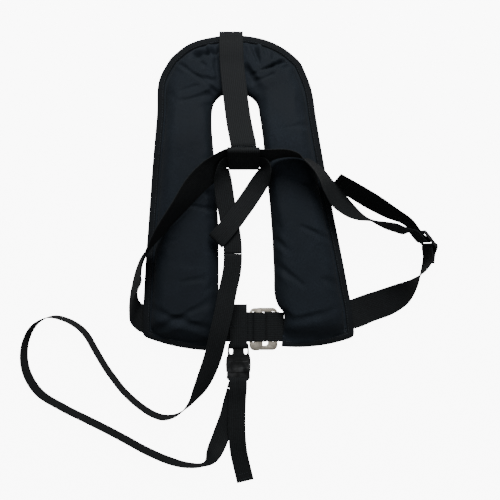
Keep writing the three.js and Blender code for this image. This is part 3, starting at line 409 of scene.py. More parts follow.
BRASS = TumbledSteel("turned_brass", "#b59a55", 0.35, dark="#8a7540")


# ---- mesh helpers ------------------------------------------------------------------------------
def new_mesh(name: str, points: np.ndarray, faces: Sequence[Sequence[int]],
             smooth: bool = True) -> bpy.types.Object:
    """Make a mesh piece from drawing points.

    Args:
        name: Piece name.
        points: Drawing points in millimetres.
        faces: Corner indices of each face.
        smooth: Shade it smooth.

    Returns:
        The piece, in the scene.
    """
    mesh = bpy.data.meshes.new(name)
    mesh.from_pydata([tuple(p) for p in DRAWING.place(points)], [], [tuple(f) for f in faces])
    mesh.validate()
    mesh.update()
    if smooth:
        mesh.polygons.foreach_set("use_smooth", [True] * len(mesh.polygons))
    obj = bpy.data.objects.new(name, mesh)
    bpy.context.collection.objects.link(obj)
    return obj


def grid_faces(rows: int, count: int, caps: bool = True) -> list[tuple[int, ...]]:
    """Faces of rings joined one to the next.

    Args:
        rows: Number of rings.
        count: Points in each ring.
        caps: Close both end rings.

    Returns:
        Face corner indices.
    """
    faces = [(i * count + j, i * count + (j + 1) % count,
              (i + 1) * count + (j + 1) % count, (i + 1) * count + j)
             for i in range(rows - 1) for j in range(count)]
    if caps:
        faces.append(tuple(range(count - 1, -1, -1)))
        faces.append(tuple((rows - 1) * count + j for j in range(count)))
    return faces


def face_out(obj: bpy.types.Object) -> bpy.types.Object:
    """Turn all faces of a closed piece outwards.

    Args:
        obj: Mesh piece.

    Returns:
        The same piece.
    """
    work = bmesh.new()
    work.from_mesh(obj.data)
    bmesh.ops.recalc_face_normals(work, faces=work.faces)
    work.to_mesh(obj.data)
    work.free()
    return obj


def smooth_line(stops: np.ndarray, at: np.ndarray) -> np.ndarray:
    """Centripetal Catmull-Rom line through stops, one unit of parameter per stop.

    Args:
        stops: Rows of coordinates.
        at: Parameters from 0 to the number of stops less one.

    Returns:
        A row for each parameter.
    """
    stops = np.asarray(stops, float)
    ends = np.vstack([2 * stops[0] - stops[1], stops, 2 * stops[-1] - stops[-2]])
    out = []
    for u in at:
        k = min(int(u), len(stops) - 2)
        w = u - k
        a, b, c, d = ends[k : k + 4]
        t1 = max(np.sum((c - b) ** 2) ** 0.25, 1e-4)
        t0 = np.sum((b - a) ** 2) ** 0.25
        t2 = np.sum((d - c) ** 2) ** 0.25
        t0 = t1 if t0 < 1e-4 else t0
        t2 = t1 if t2 < 1e-4 else t2
        m1 = ((b - a) / t0 - (c - a) / (t0 + t1) + (c - b) / t1) * t1
        m2 = ((c - b) / t1 - (d - b) / (t1 + t2) + (d - c) / t2) * t1
        out.append(b + m1 * w + (-3 * b + 3 * c - 2 * m1 - m2) * w**2 + (2 * b - 2 * c + m1 + m2) * w**3)
    return np.array(out)


def unit(rows: np.ndarray) -> np.ndarray:
    """Rows scaled to length one."""
    return rows / np.maximum(np.linalg.norm(rows, axis=-1, keepdims=True), 1e-9)


# ---- straps ------------------------------------------------------------------------------------
@dataclass
class Strap:
    """Flat webbing along a route of x, y, z and width direction, with soft selvedges.

    Its own coordinates are millimetres along it, millimetres across it and the side, +1 or -1.
    """

    name: str
    width: float
    route: list
    skewed: int = 0
    thick: float = 1.7
    step: float = 3.5
    middles: np.ndarray = field(default=None, repr=False)
    sides: np.ndarray = field(default=None, repr=False)
    ups: np.ndarray = field(default=None, repr=False)
    reach: np.ndarray = field(default=None, repr=False)

    def __post_init__(self) -> None:
        """Sample the route into evenly spaced sections."""
        stops = np.array(self.route, float)
        fine = np.linspace(0, len(stops) - 1, 24 * (len(stops) - 1) + 1)
        path = smooth_line(stops[:, :3], fine)
        across = unit(smooth_line(stops[:, 3:], fine))
        heading = unit(np.gradient(path, axis=0))
        square = np.clip(fine - self.skewed + 1, 0, 1)[:, None]
        across = unit(across - square * np.sum(across * heading, 1, keepdims=True) * heading)
        run = np.concatenate([[0], np.cumsum(np.linalg.norm(np.diff(path, axis=0), axis=1))])
        count = max(6, int(run[-1] / self.step))
        at = np.linspace(0, run[-1], count + 1)
        pick = lambda rows: np.stack([np.interp(at, run, rows[:, k]) for k in range(3)], 1)
        self.reach = at
        self.middles = pick(path)
        self.sides = unit(pick(across))
        self.ups = unit(np.cross(unit(pick(heading)), self.sides))

    @property
    def length(self) -> float:
        """Length along the middle, in millimetres."""
        return float(self.reach[-1])

    def outline(self) -> np.ndarray:
        """Cross-section: across and up offsets with rounded selvedges.

        Returns:
            Rows of across, up.
        """
        w, t = self.width / 2, self.thick / 2
        inner = np.linspace(-w + 1.6, w - 1.6, 7)
        top = [(-w, 0.0), (-w + 0.25, t * 0.75), (-w + 0.8, t), *[(u, t * 0.94) for u in inner],
               (w - 0.8, t), (w - 0.25, t * 0.75)]
        under = [(-u, -v) for u, v in top]
        return np.array(top + under)

    def build(self, slot: str = "webbing") -> bpy.types.Object:
        """Sweep the section along the route, with its length and width laid out as UVs.

        Args:
            slot: Material slot name; not used.

        Returns:
            The strap.
        """
        profile = self.outline()
        rings = [m + profile[:, :1] * s + profile[:, 1:] * u
                 for m, s, u in zip(self.middles, self.sides, self.ups)]
        count = len(profile)
        obj = new_mesh(self.name, np.vstack(rings), grid_faces(len(rings), count))
        layer = obj.data.uv_layers.new(name="weave")
        for loop in obj.data.loops:
            ring, k = divmod(loop.vertex_index, count)
            layer.data[loop.index].uv = ((profile[k, 0] + self.width) * MM, self.reach[ring] * MM)
        face_out(obj)
        HARNESS_WEB.put_on(obj)
        return obj

    def at(self, along: float, across: float, side: int) -> tuple[np.ndarray, np.ndarray]:
        """A place on the strap's face.

        Args:
            along: Distance from the start; negative counts from the end.
            across: Distance from the middle line.
            side: +1 or -1 face.

        Returns:
            The point and the outward direction.
        """
        along = along + self.length if along < 0 else along
        get = lambda rows: np.array([np.interp(along, self.reach, rows[:, k]) for k in range(3)])
        up = unit(get(self.ups)) * side
        return get(self.middles) + unit(get(self.sides)) * across + up * self.thick / 2, up

    def seam(self, rows: Sequence[tuple], side: int) -> list[tuple[np.ndarray, np.ndarray]]:
        """Points along a sewn line given in the strap's own coordinates.

        Args:
            rows: Corners as along, across.
            side: Face that shows the thread.

        Returns:
            Points with outward directions, one a millimetre.
        """
        out = []
        for (s0, u0), (s1, u1) in zip(rows, rows[1:]):
            count = max(2, int(math.hypot(s1 - s0, u1 - u0)))
            out += [self.at(s0 + (s1 - s0) * i / count, u0 + (u1 - u0) * i / count, side)
                    for i in range(count)]
        return out

    def box_seam(self, start: float, end: float, side: int, cross: bool = True) -> list:
        """A sewn box, with its diagonals, between two distances.

        Args:
            start: Distance of the near end.
            end: Distance of the far end.
            side: Face that shows the thread.
            cross: Sew the diagonals too.

        Returns:
            Sewn lines.
        """
        w = self.width / 2 - 4
        lines = [self.seam([(start, -w), (end, -w), (end, w), (start, w), (start, -w)], side)]
        if cross:
            lines += [self.seam([(start, -w), (end, w)], side), self.seam([(start, w), (end, -w)], side)]
        return lines


@dataclass(frozen=True)
class Stitching:
    """Lock-stitch thread laid as short raised stitches along sewn lines."""

    stitch: float = 3.2
    gap: float = 1.1
    radius: float = 0.42

    def build(self, name: str, lines: Iterable[Sequence[tuple]]) -> bpy.types.Object:
        """One mesh of all stitches of some sewn lines.

        Args:
            name: Piece name.
            lines: Lines of points with outward directions.

        Returns:
            The thread piece.
        """
        points, faces = [], []
        for line in lines:
            spots = np.array([p for p, _ in line])
            outs = np.array([o for _, o in line])
            run = np.concatenate([[0], np.cumsum(np.linalg.norm(np.diff(spots, axis=0), axis=1))])
            at = 0.0
            while at + self.stitch < run[-1]:
                ends = [np.array([np.interp(v, run, spots[:, k]) for k in range(3)])
                        for v in (at, at + self.stitch)]
                out = unit(np.array([np.interp(at, run, outs[:, k]) for k in range(3)]))
                ahead = unit(ends[1] - ends[0])
                beside = np.cross(ahead, out)
                for share, size, rise in ((0.0, 0.45, 0.0), (0.2, 1.0, 0.25),
                                          (0.8, 1.0, 0.25), (1.0, 0.45, 0.0)):
                    middle = ends[0] + (ends[1] - ends[0]) * share + out * rise
                    for k in range(5):
                        a = 2 * math.pi * k / 5
                        points.append(
                            middle + self.radius * size * (math.cos(a) * beside + math.sin(a) * out))
                base = len(points) - 20
                faces += [tuple(base + i for i in f) for f in grid_faces(4, 5)]
                at += self.stitch + self.gap
        obj = new_mesh(name, np.array(points), faces)
        THREAD.put_on(obj)
        return obj


# ---- the padded cover --------------------------------------------------------------------------
@dataclass(frozen=True)
class Fold:
    """A crease or tuck in the cloth, between two drawing points seen from above."""

    start: tuple[float, float]
    end: tuple[float, float]
    width: float
    depth: float

    def dip(self, points: np.ndarray) -> np.ndarray:
        """How far the cloth sinks at each point, with a soft roll beside the crease.

        Args:
            points: Rows of drawing x, y.

        Returns:
            Depth in millimetres, negative on the rolls.
        """
        a, b = np.array(self.start), np.array(self.end)
        run = b - a
        share = ((points - a) @ run) / (run @ run)
        held = np.clip(share, 0, 1)
        away = np.linalg.norm(points - (a + held[:, None] * run), axis=1) / self.width
        fade = np.sin(math.pi * np.clip(share, 0.02, 0.98)) ** 0.6
        return self.depth * fade * (np.exp(-away**2) - 0.55 * np.exp(-((away - 1.7) ** 2)))


@dataclass
class Cover:
    """Horseshoe cover: padded cloth, its sewn flange, the binding round it and their stitching."""

    flange: float = 13.0
    lobe_top: float = 50.0
    collar_top: float = 38.0
    end_taper: float = 34.0
    end_bow: float = 7.0
    binding: float = 11.0
    leaf: float = 3.0  # half the thickness of the flange's stack
    left: tuple = (
        ((-182, -146), (-50, -170)), ((-180.5, -100), (-50, -112)), ((-177, -30), (-49, -30)),
        ((-171, 55), (-50, 55)), ((-164, 150), (-56, 150)), ((-157, 232), (-61, 224)),
        ((-154, 288), (-59, 250)), ((-134, 326), (-53, 259)),
    )
    collar: tuple = (
        ((-134, 326), (-53, 259)), ((-104, 349), (-47, 264)), ((-64, 361), (-38, 268)),
        ((-20, 364), (-26, 269)), ((24, 357), (-14, 268)), ((60, 340), (-5, 264)), ((86, 318), (3, 259)),
    )
    right: tuple = (
        ((86, 318), (3, 259)), ((103, 275), (10, 250)), ((111, 226), (14, 224)), ((124, 150), (21, 150)),
        ((142, 55), (31, 55)), ((159, -30), (35.5, -30)), ((167.5, -76), (38, -80)),
        ((171, -92), (45, -98)), ((172.5, -103), (53.5, -108)), ((174.5, -122), (54, -127)),
        ((177, -147), (54, -163)),
    )
    folds: tuple = (
        Fold((-98, 322), (-50, 334), 5, 7.0), Fold((-60, 352), (-52, 280), 6, 6.5),
        Fold((-78, 346), (-58, 296), 4, 3.0), Fold((-100, 334), (-66, 300), 5, 2.6),
        Fold((-92, 292), (-58, 282), 5, 4.0), Fold((-45, 352), (-46, 290), 4, 2.4),
        Fold((3, 350), (18, 304), 5, 8.0), Fold((-12, 312), (10, 276), 9, 8.0),
        Fold((22, 346), (30, 300), 4, 2.6), Fold((40, 336), (36, 290), 4, 2.2),
        Fold((6, 294), (66, 320), 3.2, 7.0), Fold((-53, 262), (-134, 324), 3.5, 2.6),
        Fold((8, 282), (46, 296), 4, 2.4), Fold((-118, 262), (-70, 282), 6, 2.4),
        Fold((-122, 246), (-62, 262), 6, 2.6), Fold((-108, 74), (-54, 66), 5, 3.0),
        Fold((-96, 88), (-60, 96), 5, 1.8), Fold((-165, -140), (-62, -82), 7, 3.4),
        Fold((-168, -96), (-60, -136), 7, 3.0), Fold((-120, -54), (-70, -46), 7, 2.0),
        Fold((-150, 10), (-104, 22), 8, 1.6), Fold((-70, 150), (-62, 60), 7, 1.8),
        Fold((79, 42), (132, 16), 5, 3.0), Fold((44, -24), (90, -60), 6, 3.0),
        Fold((60, 120), (112, 106), 6, 1.8), Fold((48, 200), (98, 208), 6, 1.8),
        Fold((60, -120), (150, -96), 7, 2.2), Fold((100, -40), (150, -60), 6, 1.6),
        Fold((40, 20), (66, -4), 5, 2.0),
    )

    @staticmethod
    def squircle(value: np.ndarray, power: float) -> np.ndarray:
        """Signed power that squares up a circle's sine or cosine."""
        return np.sign(value) * np.abs(value) ** power

    def stations(self, subdivisions: int = 5) -> tuple[np.ndarray, np.ndarray, np.ndarray]:
        """Rows round the horseshoe, from the left hem over the collar to the right hem.

        Args:
            subdivisions: Rows between two given stations.

        Returns:
            Outer points, inner points and the share of full height.
        """
        outers, inners, shares = [], [], []
        for edge in (self.left, self.collar, self.right):
            at = np.linspace(0, len(edge) - 1, (len(edge) - 1) * subdivisions + 1)
            outer = smooth_line(np.array([o for o, _ in edge]), at)
            inner = smooth_line(np.array([i for _, i in edge]), at)
            skip = 1 if outers else 0
            outers.append(outer[skip:])
            inners.append(inner[skip:])
        outer, inner = np.vstack(outers), np.vstack(inners)
        run = np.concatenate([[0], np.cumsum(np.linalg.norm(np.diff(outer, axis=0), axis=1))])
        taper_at = [0, self.flange, self.flange + 5, self.flange + 13, self.flange + self.end_taper, 1e4]
        taper = [0, 0.02, 0.5, 0.8, 1, 1]
        for distance in np.minimum(run, run[-1] - run):
            shares.append(np.interp(distance, taper_at, taper))
        return outer, inner, np.array(shares)

    def top(self, y: float) -> float:
        """Height of the padding: full on the lobes, lower over the collar."""
        t = min(1.0, max(0.0, (y - 170) / 110))
        return self.lobe_top + (self.collar_top - self.lobe_top) * t * t * (3 - 2 * t)

    def hem_bow(self, outer: np.ndarray, inner: np.ndarray, point: np.ndarray, share: float) -> float:
        """How far a hem line bows down between its corners."""
        across = np.linalg.norm(point - inner) / max(1e-6, np.linalg.norm(outer - inner))
        return 4 * self.end_bow * (1 - share) * across * (1 - across)

    def pillow(self) -> bpy.types.Object:
        """Closed padded form between the inner edge and the flange's root, before it is filled.

        Returns:
            The form.
        """
        outer, inner, shares = self.stations()
        angles = np.linspace(0, math.pi, 15)
        rings = []
        for o, i, share in zip(outer, inner, shares):
            inward = unit(i - o)
            root = o + inward * (self.flange - 1.0)
            start = i - inward * 1.6
            height = self.top((o[1] + i[1]) / 2) - 3.2
            upper, lower = [], []
            for a in angles:
                along = (1 - self.squircle(math.cos(a), 0.74)) / 2
                p = start + (root - start) * along
                bow = self.hem_bow(o, i, p, share)
                rise = min(1.0, 1.05 * float(self.squircle(math.sin(a), 0.62))) * share
                upper.append((p[0], p[1] - bow, SEAM_Z + 2.2 + (height - SEAM_Z - 2.2) * rise))
                lower.append((p[0], p[1] - bow, SEAM_Z - 2.2 - (SEAM_Z - 3.6) * rise))
            rings.append(np.array(upper + lower[::-1]))
        obj = new_mesh("cover_padding", np.vstack(rings), grid_faces(len(rings), len(rings[0])))
        return face_out(obj)

    def fill(self, obj: bpy.types.Object, cap: float = 3.0) -> None:
        """Remesh the form, blow it up as cloth and keep each point near where it started.

        Args:
            obj: Padded form.
            cap: Largest movement in millimetres.
        """
        remesh = obj.modifiers.new("even", "REMESH")
        remesh.mode = "VOXEL"
        remesh.voxel_size = 4 * MM
        remesh.use_smooth_shade = True
        bake_modifiers(obj)
        before = corners(obj)
        cloth = obj.modifiers.new("filling", "CLOTH")
        cloth.settings.quality = 4
        cloth.settings.mass = 0.25
        cloth.settings.tension_stiffness = 12
        cloth.settings.compression_stiffness = 12
        cloth.settings.bending_stiffness = 0.4
        cloth.settings.use_pressure = True
        cloth.settings.uniform_pressure_force = 4.0
        cloth.settings.effector_weights.gravity = 0.0
        cloth.collision_settings.use_collision = False
        for number in range(1, 21):
            bpy.context.scene.frame_set(number)
        bake_modifiers(obj)
        bpy.context.scene.frame_set(1)
        move = corners(obj) - before
        size = np.linalg.norm(move, axis=1, keepdims=True)
        move *= np.minimum(1, cap * MM / np.maximum(size, 1e-9))
        set_corners(obj, before + move)
        smoother = obj.modifiers.new("relax", "SMOOTH")
        smoother.iterations = 1
        finer = obj.modifiers.new("finer", "SUBSURF")
        finer.levels = finer.render_levels = 1
        bake_modifiers(obj)

    def crease(self, obj: bpy.types.Object) -> None:
        """Press folds and slack wrinkles into the cloth, and lay its underside on the floor.

        Args:
            obj: Filled form.
        """
        shift = np.array(DRAWING.shift())
        points = (corners(obj) - shift) / MM
        normals = np.empty(len(points) * 3)
        obj.data.vertices.foreach_get("normal", normals)
        normals = normals.reshape(-1, 3)
        dips = sum(f.dip(points[:, :2]) for f in self.folds)
        slack = np.array([noise.noise(Vector(p) / 46.0) * 1.5
                          + noise.noise(Vector((p[0] / 13, p[1] / 24, p[2] / 13))) * 0.45
                          + noise.noise(Vector((p[0] / 7, p[1] / 7, p[2] / 7 + 9))) * 0.16 for p in points])
        facing = np.clip(normals[:, 2] * 1.6 + 0.25, 0, 1)
        points += normals * (slack * (0.35 + 0.65 * facing) - dips * facing)[:, None]
        tops = np.array([self.top(y) for y in points[:, 1]])
        points[:, 2] = np.minimum(points[:, 2], tops - 0.5)
        points[:, 2] = np.maximum(points[:, 2], 0.4)
        set_corners(obj, points * MM + shift)

    def edge_path(self, inset: float, spacing: float = 4.0) -> np.ndarray:
        """Line at an inset from the outer edge and both hems, left inner corner to right inner corner.

        Args:
            inset: Distance inwards; negative stands outside.
            spacing: Distance between points.

        Returns:
            Rows of x, y.
        """
        outer, inner, _ = self.stations()
        hem = lambda o, i: [i + (o - i) * t + np.array([0, -4 * self.end_bow * t * (1 - t)])
                            for t in np.linspace(0, 1, 24)]
        line = np.array(hem(outer[0], inner[0])[:-1] + list(outer) + hem(outer[-1], inner[-1])[::-1][1:])
        run = np.concatenate([[0], np.cumsum(np.linalg.norm(np.diff(line, axis=0), axis=1))])
        at = np.linspace(0, run[-1], int(run[-1] / spacing) + 1)
        line = np.stack([np.interp(at, run, line[:, k]) for k in (0, 1)], 1)
        for _ in range(3):
            line[1:-1] = (line[:-2] + 2 * line[1:-1] + line[2:]) / 4
        ahead = unit(np.gradient(line, axis=0))
        inward = np.stack([ahead[:, 1], -ahead[:, 0]], 1)
        return line + inward * inset

    def wave(self, line: np.ndarray, height: float = 0.9) -> np.ndarray:
        """Slow rise and fall of the slack edge along a line."""
        return np.array([noise.noise(Vector((x / 38, y / 38, 3.0))) * height for x, y in line])

    def band(self, name: str, insets: Sequence[float], heights: Sequence[float],
             finish: Finish) -> bpy.types.Object:
        """Strip round the edge whose closed section is given as insets and heights.

        Args:
            name: Piece name.
            insets: Inset of each corner of the section.
            heights: Height of each corner above the seam.
            finish: Its cloth.

        Returns:
            The strip.
        """
        base = self.edge_path(0.0)
        wave = self.wave(base)
        lines = [self.edge_path(inset) for inset in insets]
        rings = [np.array([(*lines[k][i], SEAM_Z + heights[k] + wave[i]) for k in range(len(insets))])
                 for i in range(len(base))]
        obj = new_mesh(name, np.vstack(rings), grid_faces(len(rings), len(insets)))
        face_out(obj)
        return finish.put_on(obj)

    def sewn(self, inset: float, side: int, height: float) -> list[tuple[np.ndarray, np.ndarray]]:
        """A stitched line round the edge at an inset.

        Args:
            inset: Distance from the outer edge.
            side: +1 for the upper face, -1 for the lower.
            height: Height of the face above the seam.

        Returns:
            Points with outward directions.
        """
        line = self.edge_path(inset, 3.0)
        wave = self.wave(self.edge_path(0.0, 3.0))
        return [(np.array([x, y, SEAM_Z + side * height + w]), np.array([0.0, 0.0, float(side)]))
                for (x, y), w in zip(line, wave)]

    def build(self) -> None:
        """Make the padding, flange, binding and stitching."""
        padding = self.pillow()
        self.fill(padding)
        self.crease(padding)
        COVER_CLOTH.put_on(padding)
        padding.data.polygons.foreach_set("use_smooth", [True] * len(padding.data.polygons))
        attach(padding, Body.JACKET.value)
        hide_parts(*[f"{side}_panel_{part}" for side in ("back", "front")
                               for part in ("left", "collar", "right")])
        report(padding)
        leaf = self.leaf - 0.5
        flange = self.band("cover_flange", (1.0, 8, 14, 19, 19, 14, 8, 1.0),
                           (leaf, leaf + 0.1, leaf + 0.3, leaf + 0.9,
                            -leaf - 0.9, -leaf - 0.3, -leaf - 0.1, -leaf),
                           COVER_CLOTH)
        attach(flange, Body.JACKET.value)
        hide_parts("loop_tape", "hook_tape")
        report(flange)
        half = self.leaf + 1.0
        inner = self.leaf + 0.1
        tape = self.band("edge_binding_tape",
                         (self.binding, self.binding - 0.6, 6.0, 0.6, -0.9, -1.4, -0.9, 0.6, 6.0,
                          self.binding - 0.6,
                          self.binding, self.binding - 0.3, 5.0, 0.5, 0.5, 5.0, self.binding - 0.3),
                         (inner + 0.1, half - 0.1, half + 0.1, half - 0.1, half * 0.55, 0.0,
                          -half * 0.55, -half + 0.1,
                          -half - 0.1, -half + 0.1, -inner - 0.1, -inner, -inner, -inner * 0.7,
                          inner * 0.7, inner, inner),
                         BINDING_TAPE)
        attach(tape, Body.JACKET.value)
        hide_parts("edge_binding")
        report(tape)
        sewn = [self.sewn(self.binding - 2.2, side, half + 0.1) for side in (1, -1)]
        sewn += [self.sewn(15.5, 1, leaf + 0.6)]
        thread = Stitching().build("cover_stitching", sewn)
        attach(thread, Body.JACKET.value)
        report(thread)


def bake_modifiers(obj: bpy.types.Object) -> None:
    """Replace a piece's mesh by what its modifiers make of it.

    Args:
        obj: Mesh piece.
    """
    bpy.context.view_layer.update()
    graph = bpy.context.evaluated_depsgraph_get()
    made = bpy.data.meshes.new_from_object(obj.evaluated_get(graph), depsgraph=graph)
    obj.modifiers.clear()
    old = obj.data
    obj.data = made
    bpy.data.meshes.remove(old)


def corners(obj: bpy.types.Object) -> np.ndarray:
    """Vertex places of a mesh piece, in metres."""
    flat = np.empty(len(obj.data.vertices) * 3)
    obj.data.vertices.foreach_get("co", flat)
    return flat.reshape(-1, 3)


def set_corners(obj: bpy.types.Object, points: np.ndarray) -> None:
    """Move the vertices of a mesh piece."""
    obj.data.vertices.foreach_set("co", np.asarray(points, float).ravel())
    obj.data.update()


def report(obj: bpy.types.Object) -> None:
    """Log a finished piece."""
    LOG.info("%s: %d vertices", obj.name, len(obj.data.vertices))


# ---- harness -----------------------------------------------------------------------------------
@dataclass(frozen=True)
class Keeper:
    """Webbing loop at the small of the back; its own axes are along the back, up and out."""

    x: float = -10.0
    y: float = 144.5
    z: float = 80.0
    tilt: float = 0.4
    inner: float = 7.0
    half: float = 27.0
    width: float = 50.0

    @property
    def up(self) -> np.ndarray:
        """Direction of the loop's long side."""
        return np.array([0, math.sin(self.tilt), math.cos(self.tilt)])

    @property
    def out(self) -> np.ndarray:
        """Direction towards the collar."""
        return np.array([0, math.cos(self.tilt), -math.sin(self.tilt)])

    def stop(self, x: float, up: float, out: float, across: Optional[Sequence[float]] = None) -> list[float]:
        """Route stop in the keeper's own axes.

        Args:
            x: Offset along X.
            up: Offset along the long side.
            out: Offset towards the collar.
            across: Width direction; the long side if left out.

        Returns:
            Route row.
        """
        place = np.array([self.x + x, self.y, self.z]) + self.up * up + self.out * out
        return [*place, *(self.up if across is None else across)]

    def loop(self) -> list:
        """Route of the closed loop, its ends lapped on the lower face.

        Returns:
            Route rows.
        """
        r = self.inner / 2 + WEB_THICK / 2
        a = self.half - self.inner / 2
        ring = [(-a + 4, -r), (0, -r), (a, -r)]
        ring += [(a + r * math.sin(t), -r * math.cos(t)) for t in np.radians((35, 75, 105, 145))]
        ring += [(a, r), (0, r), (-a, r)]
        ring += [(-a - r * math.sin(t), r * math.cos(t)) for t in np.radians((35, 75, 105, 145))]
        ring += [(-a, -r), (-a + 5, -r)]
        return [self.stop(0, up, out, (-1, 0, 0)) for up, out in ring]


KEEPER = Keeper()
BELT_OUT = 1.5
KEEPER_FACE = KEEPER.inner / 2 + WEB_THICK


@dataclass(frozen=True)
class Adjuster:
    """Three-bar adjuster that stands on edge at the belt's free corner."""

    x: float = 292.0
    y: float = 18.0
    z: float = 34.0
    heading: float = -0.92
    pitch: float = 14.0
    wrap: float = 3.7

    @property
    def along(self) -> np.ndarray:
        """Direction from bar to bar."""
        return np.array([math.cos(self.heading), math.sin(self.heading), 0.0])

    @property
    def out(self) -> np.ndarray:
        """Direction square to the frame."""
        return np.array([-self.along[1], self.along[0], 0.0])

    def at(self, along: float, out: float) -> np.ndarray:
        """Place in the frame's own axes."""
        return np.array([self.x, self.y, self.z]) + self.along * along + self.out * out

    def stop(self, along: float, out: float) -> list[float]:
        """Route stop in the frame's own axes."""
        return [*self.at(along, out), 0, 0, 1]

    def strap_stop(self, out: float, down: float) -> list[float]:
        """Route stop of the strap that hangs from the last bar."""
        down_way = unit(np.array([-0.08, -1.0, 0.0]))
        right = unit(np.array([1.0, -0.08, 0.0]))
        return [*(self.at(self.pitch, 0) + right * out + down_way * down), 0, 0, 1]


ADJUSTER = Adjuster()
ROOT_Z = 12.25
EDGE_TOP_Z = 2 * SEAM_Z - ROOT_Z
COLLAR_TOP = 38.0
NOOSE_UP = -7.5
BUCKLE_X, BUCKLE_Z, BUCKLE_TOP, BUCKLE_MOUTH = -20.0, 11.0, -160.0, -208.0
UNDER_Z = BUCKLE_Z - 4 - GAP - WEB_THICK / 2
OVER_Z = BUCKLE_Z + 4 + GAP + WEB_THICK / 2
BAR_Y = BUCKLE_MOUTH - 0.5 - 14.1

BACK_STRAP_ROUTE = [
    [-32.5, 352.5, ROOT_Z, 1, 0, 0], [-32.5, 366, ROOT_Z - 0.2, 1, 0, 0],
    [-32.3, 369.8, ROOT_Z + 2.2, 1, 0, 0], [-32.2, 370.6, SEAM_Z, 1, 0, 0],
    [-32, 369.4, EDGE_TOP_Z - 1.8, 1, 0, 0], [-32, 362, EDGE_TOP_Z + 0.8, 1, 0, 0],
    [-31.8, 352, EDGE_TOP_Z + 6.5, 1, 0, 0], [-31.4, 343, COLLAR_TOP - 0.5, 1, 0, 0],
    [-31, 330, COLLAR_TOP + 2.6, 1, 0.02, 0], [-30, 308, COLLAR_TOP + 5, 1, 0.05, 0],
    [-27.6, 284, 53, 1, 0.08, 0], [-22.6, 240, 66, 1, 0.08, 0], [-17.4, 202, 79, 1, 0.08, 0],
    [-12.5, 176, 90, 1, 0.04, 0], KEEPER.stop(0, 20, KEEPER_FACE + 5.5, (1, 0, 0)),
    KEEPER.stop(0, 12, KEEPER_FACE + GAP + 1.2, (1, 0, 0)),
    KEEPER.stop(0, 3, KEEPER_FACE + GAP + 1.05, (1, 0, 0)),
    KEEPER.stop(0, -10, KEEPER_FACE + GAP + 1.05, (1, 0, 0)),
]
BELT_ROUTE = [
    [-170, -117, ROOT_Z - 0.2, 0, 1, 0], [-185, -117, ROOT_Z - 0.4, 0, 1, 0],
    [-194, -110.8, 11.4, 0.28, 0.91, 0.3], [-197.5, -103, 17.5, 0.38, 0.84, 0.4],
    [-198, -92, 21.5, 0.42, 0.7, 0.6], [-196.5, -78, 26, 0.45, 0.5, 0.74],
    [-191.5, -60, 30, 0.48, 0.2, 0.83], [-182.5, -33, 40, 0.4, 0.05, 0.91],
    [-165, -3.5, 64, 0.12, 0.02, 0.98], [-142, 31, 74.5, -0.13, 0.1, 0.98],
    [-112.5, 69, 77.5, -0.31, 0.18, 0.93], [-83.7, 105.5, 80, -0.46, 0.34, 0.82],
    [-62, 126, 82, -0.36, 0.46, 0.81], [-48.5, 142, 80.5, -0.1, 0.26, 0.96],
    KEEPER.stop(-27, 0, BELT_OUT), KEEPER.stop(0, 0, BELT_OUT), KEEPER.stop(27, 0, BELT_OUT),
    [38, 151, 79.5, 0, 0.15, 0.98], [58, 153, 78, 0, 0.05, 0.99], [77, 149.5, 76.5, -0.1, -0.05, 0.98],
    [92, 140.5, 75.5, -0.22, -0.2, 0.95], [106.5, 129.5, 68, -0.37, -0.2, 0.91],
    [118.5, 117.5, 61, -0.43, -0.26, 0.86], [129, 102.5, 56, -0.45, -0.4, 0.8],
    [145, 83.5, 49, -0.6, -0.34, 0.72], [161, 70.5, 44.5, -0.56, -0.32, 0.76],
    [178, 60.5, 40.5, -0.42, -0.28, 0.85], [196, 53, 38, -0.2, -0.15, 0.96], [214, 46.5, 36, 0, 0, 1],
    [240, 38, 34.5, -0.1, 0.2, 0.97], [262, 30.5, 34, -0.1, 0.15, 0.98], ADJUSTER.stop(-22, -7.6),
    ADJUSTER.stop(-13, -6.9), ADJUSTER.stop(-2, -6.4), ADJUSTER.stop(2, -5.4), ADJUSTER.stop(4.3, -3),
    ADJUSTER.stop(4.8, 0), ADJUSTER.stop(4.1, 2.5), ADJUSTER.stop(0, ADJUSTER.wrap),
    ADJUSTER.stop(-4.1, 2.5), ADJUSTER.stop(-5, 0), ADJUSTER.stop(-7, -2.3), ADJUSTER.stop(-12, -3.7),
    ADJUSTER.stop(-22, -3.6), [262, 47.5, 34.5, 0.02, 0.1, 1], [235, 62, 35, 0.1, 0.25, 0.96],
    [200, 82.5, 37, 0.15, 0.35, 0.92], [169, 100.5, 39, 0.12, 0.35, 0.92],
    [142, 116, 40, 0.1, 0.33, 0.93],
]
LOBE_STRAP_ROUTE = [
    [163.5, -112, ROOT_Z - 0.5, -0.18, 1, 0], [178, -109.5, ROOT_Z - 0.8, -0.18, 1, 0],
    [202, -99.5, 15, -0.3, 0.95, 0.12], [230, -88.5, 22, -0.35, 0.9, 0.2],
    [254, -75, 28, -0.45, 0.75, 0.45], [275, -56, 32, -0.4, 0.35, 0.8], [289, -36, 34, -0.15, 0.1, 0.98],
    ADJUSTER.strap_stop(-1.4, 24), ADJUSTER.strap_stop(-2.6, 12), ADJUSTER.strap_stop(-4.4, 4),
    ADJUSTER.strap_stop(-4.4, 0), ADJUSTER.strap_stop(-3.1, -3.1), ADJUSTER.strap_stop(0, -4.4),
    ADJUSTER.strap_stop(3.1, -3.1), ADJUSTER.strap_stop(4.4, 0), ADJUSTER.strap_stop(4.2, 4),
    ADJUSTER.strap_stop(1.6, 12), ADJUSTER.strap_stop(0.95, 24), ADJUSTER.strap_stop(1, 29),
]
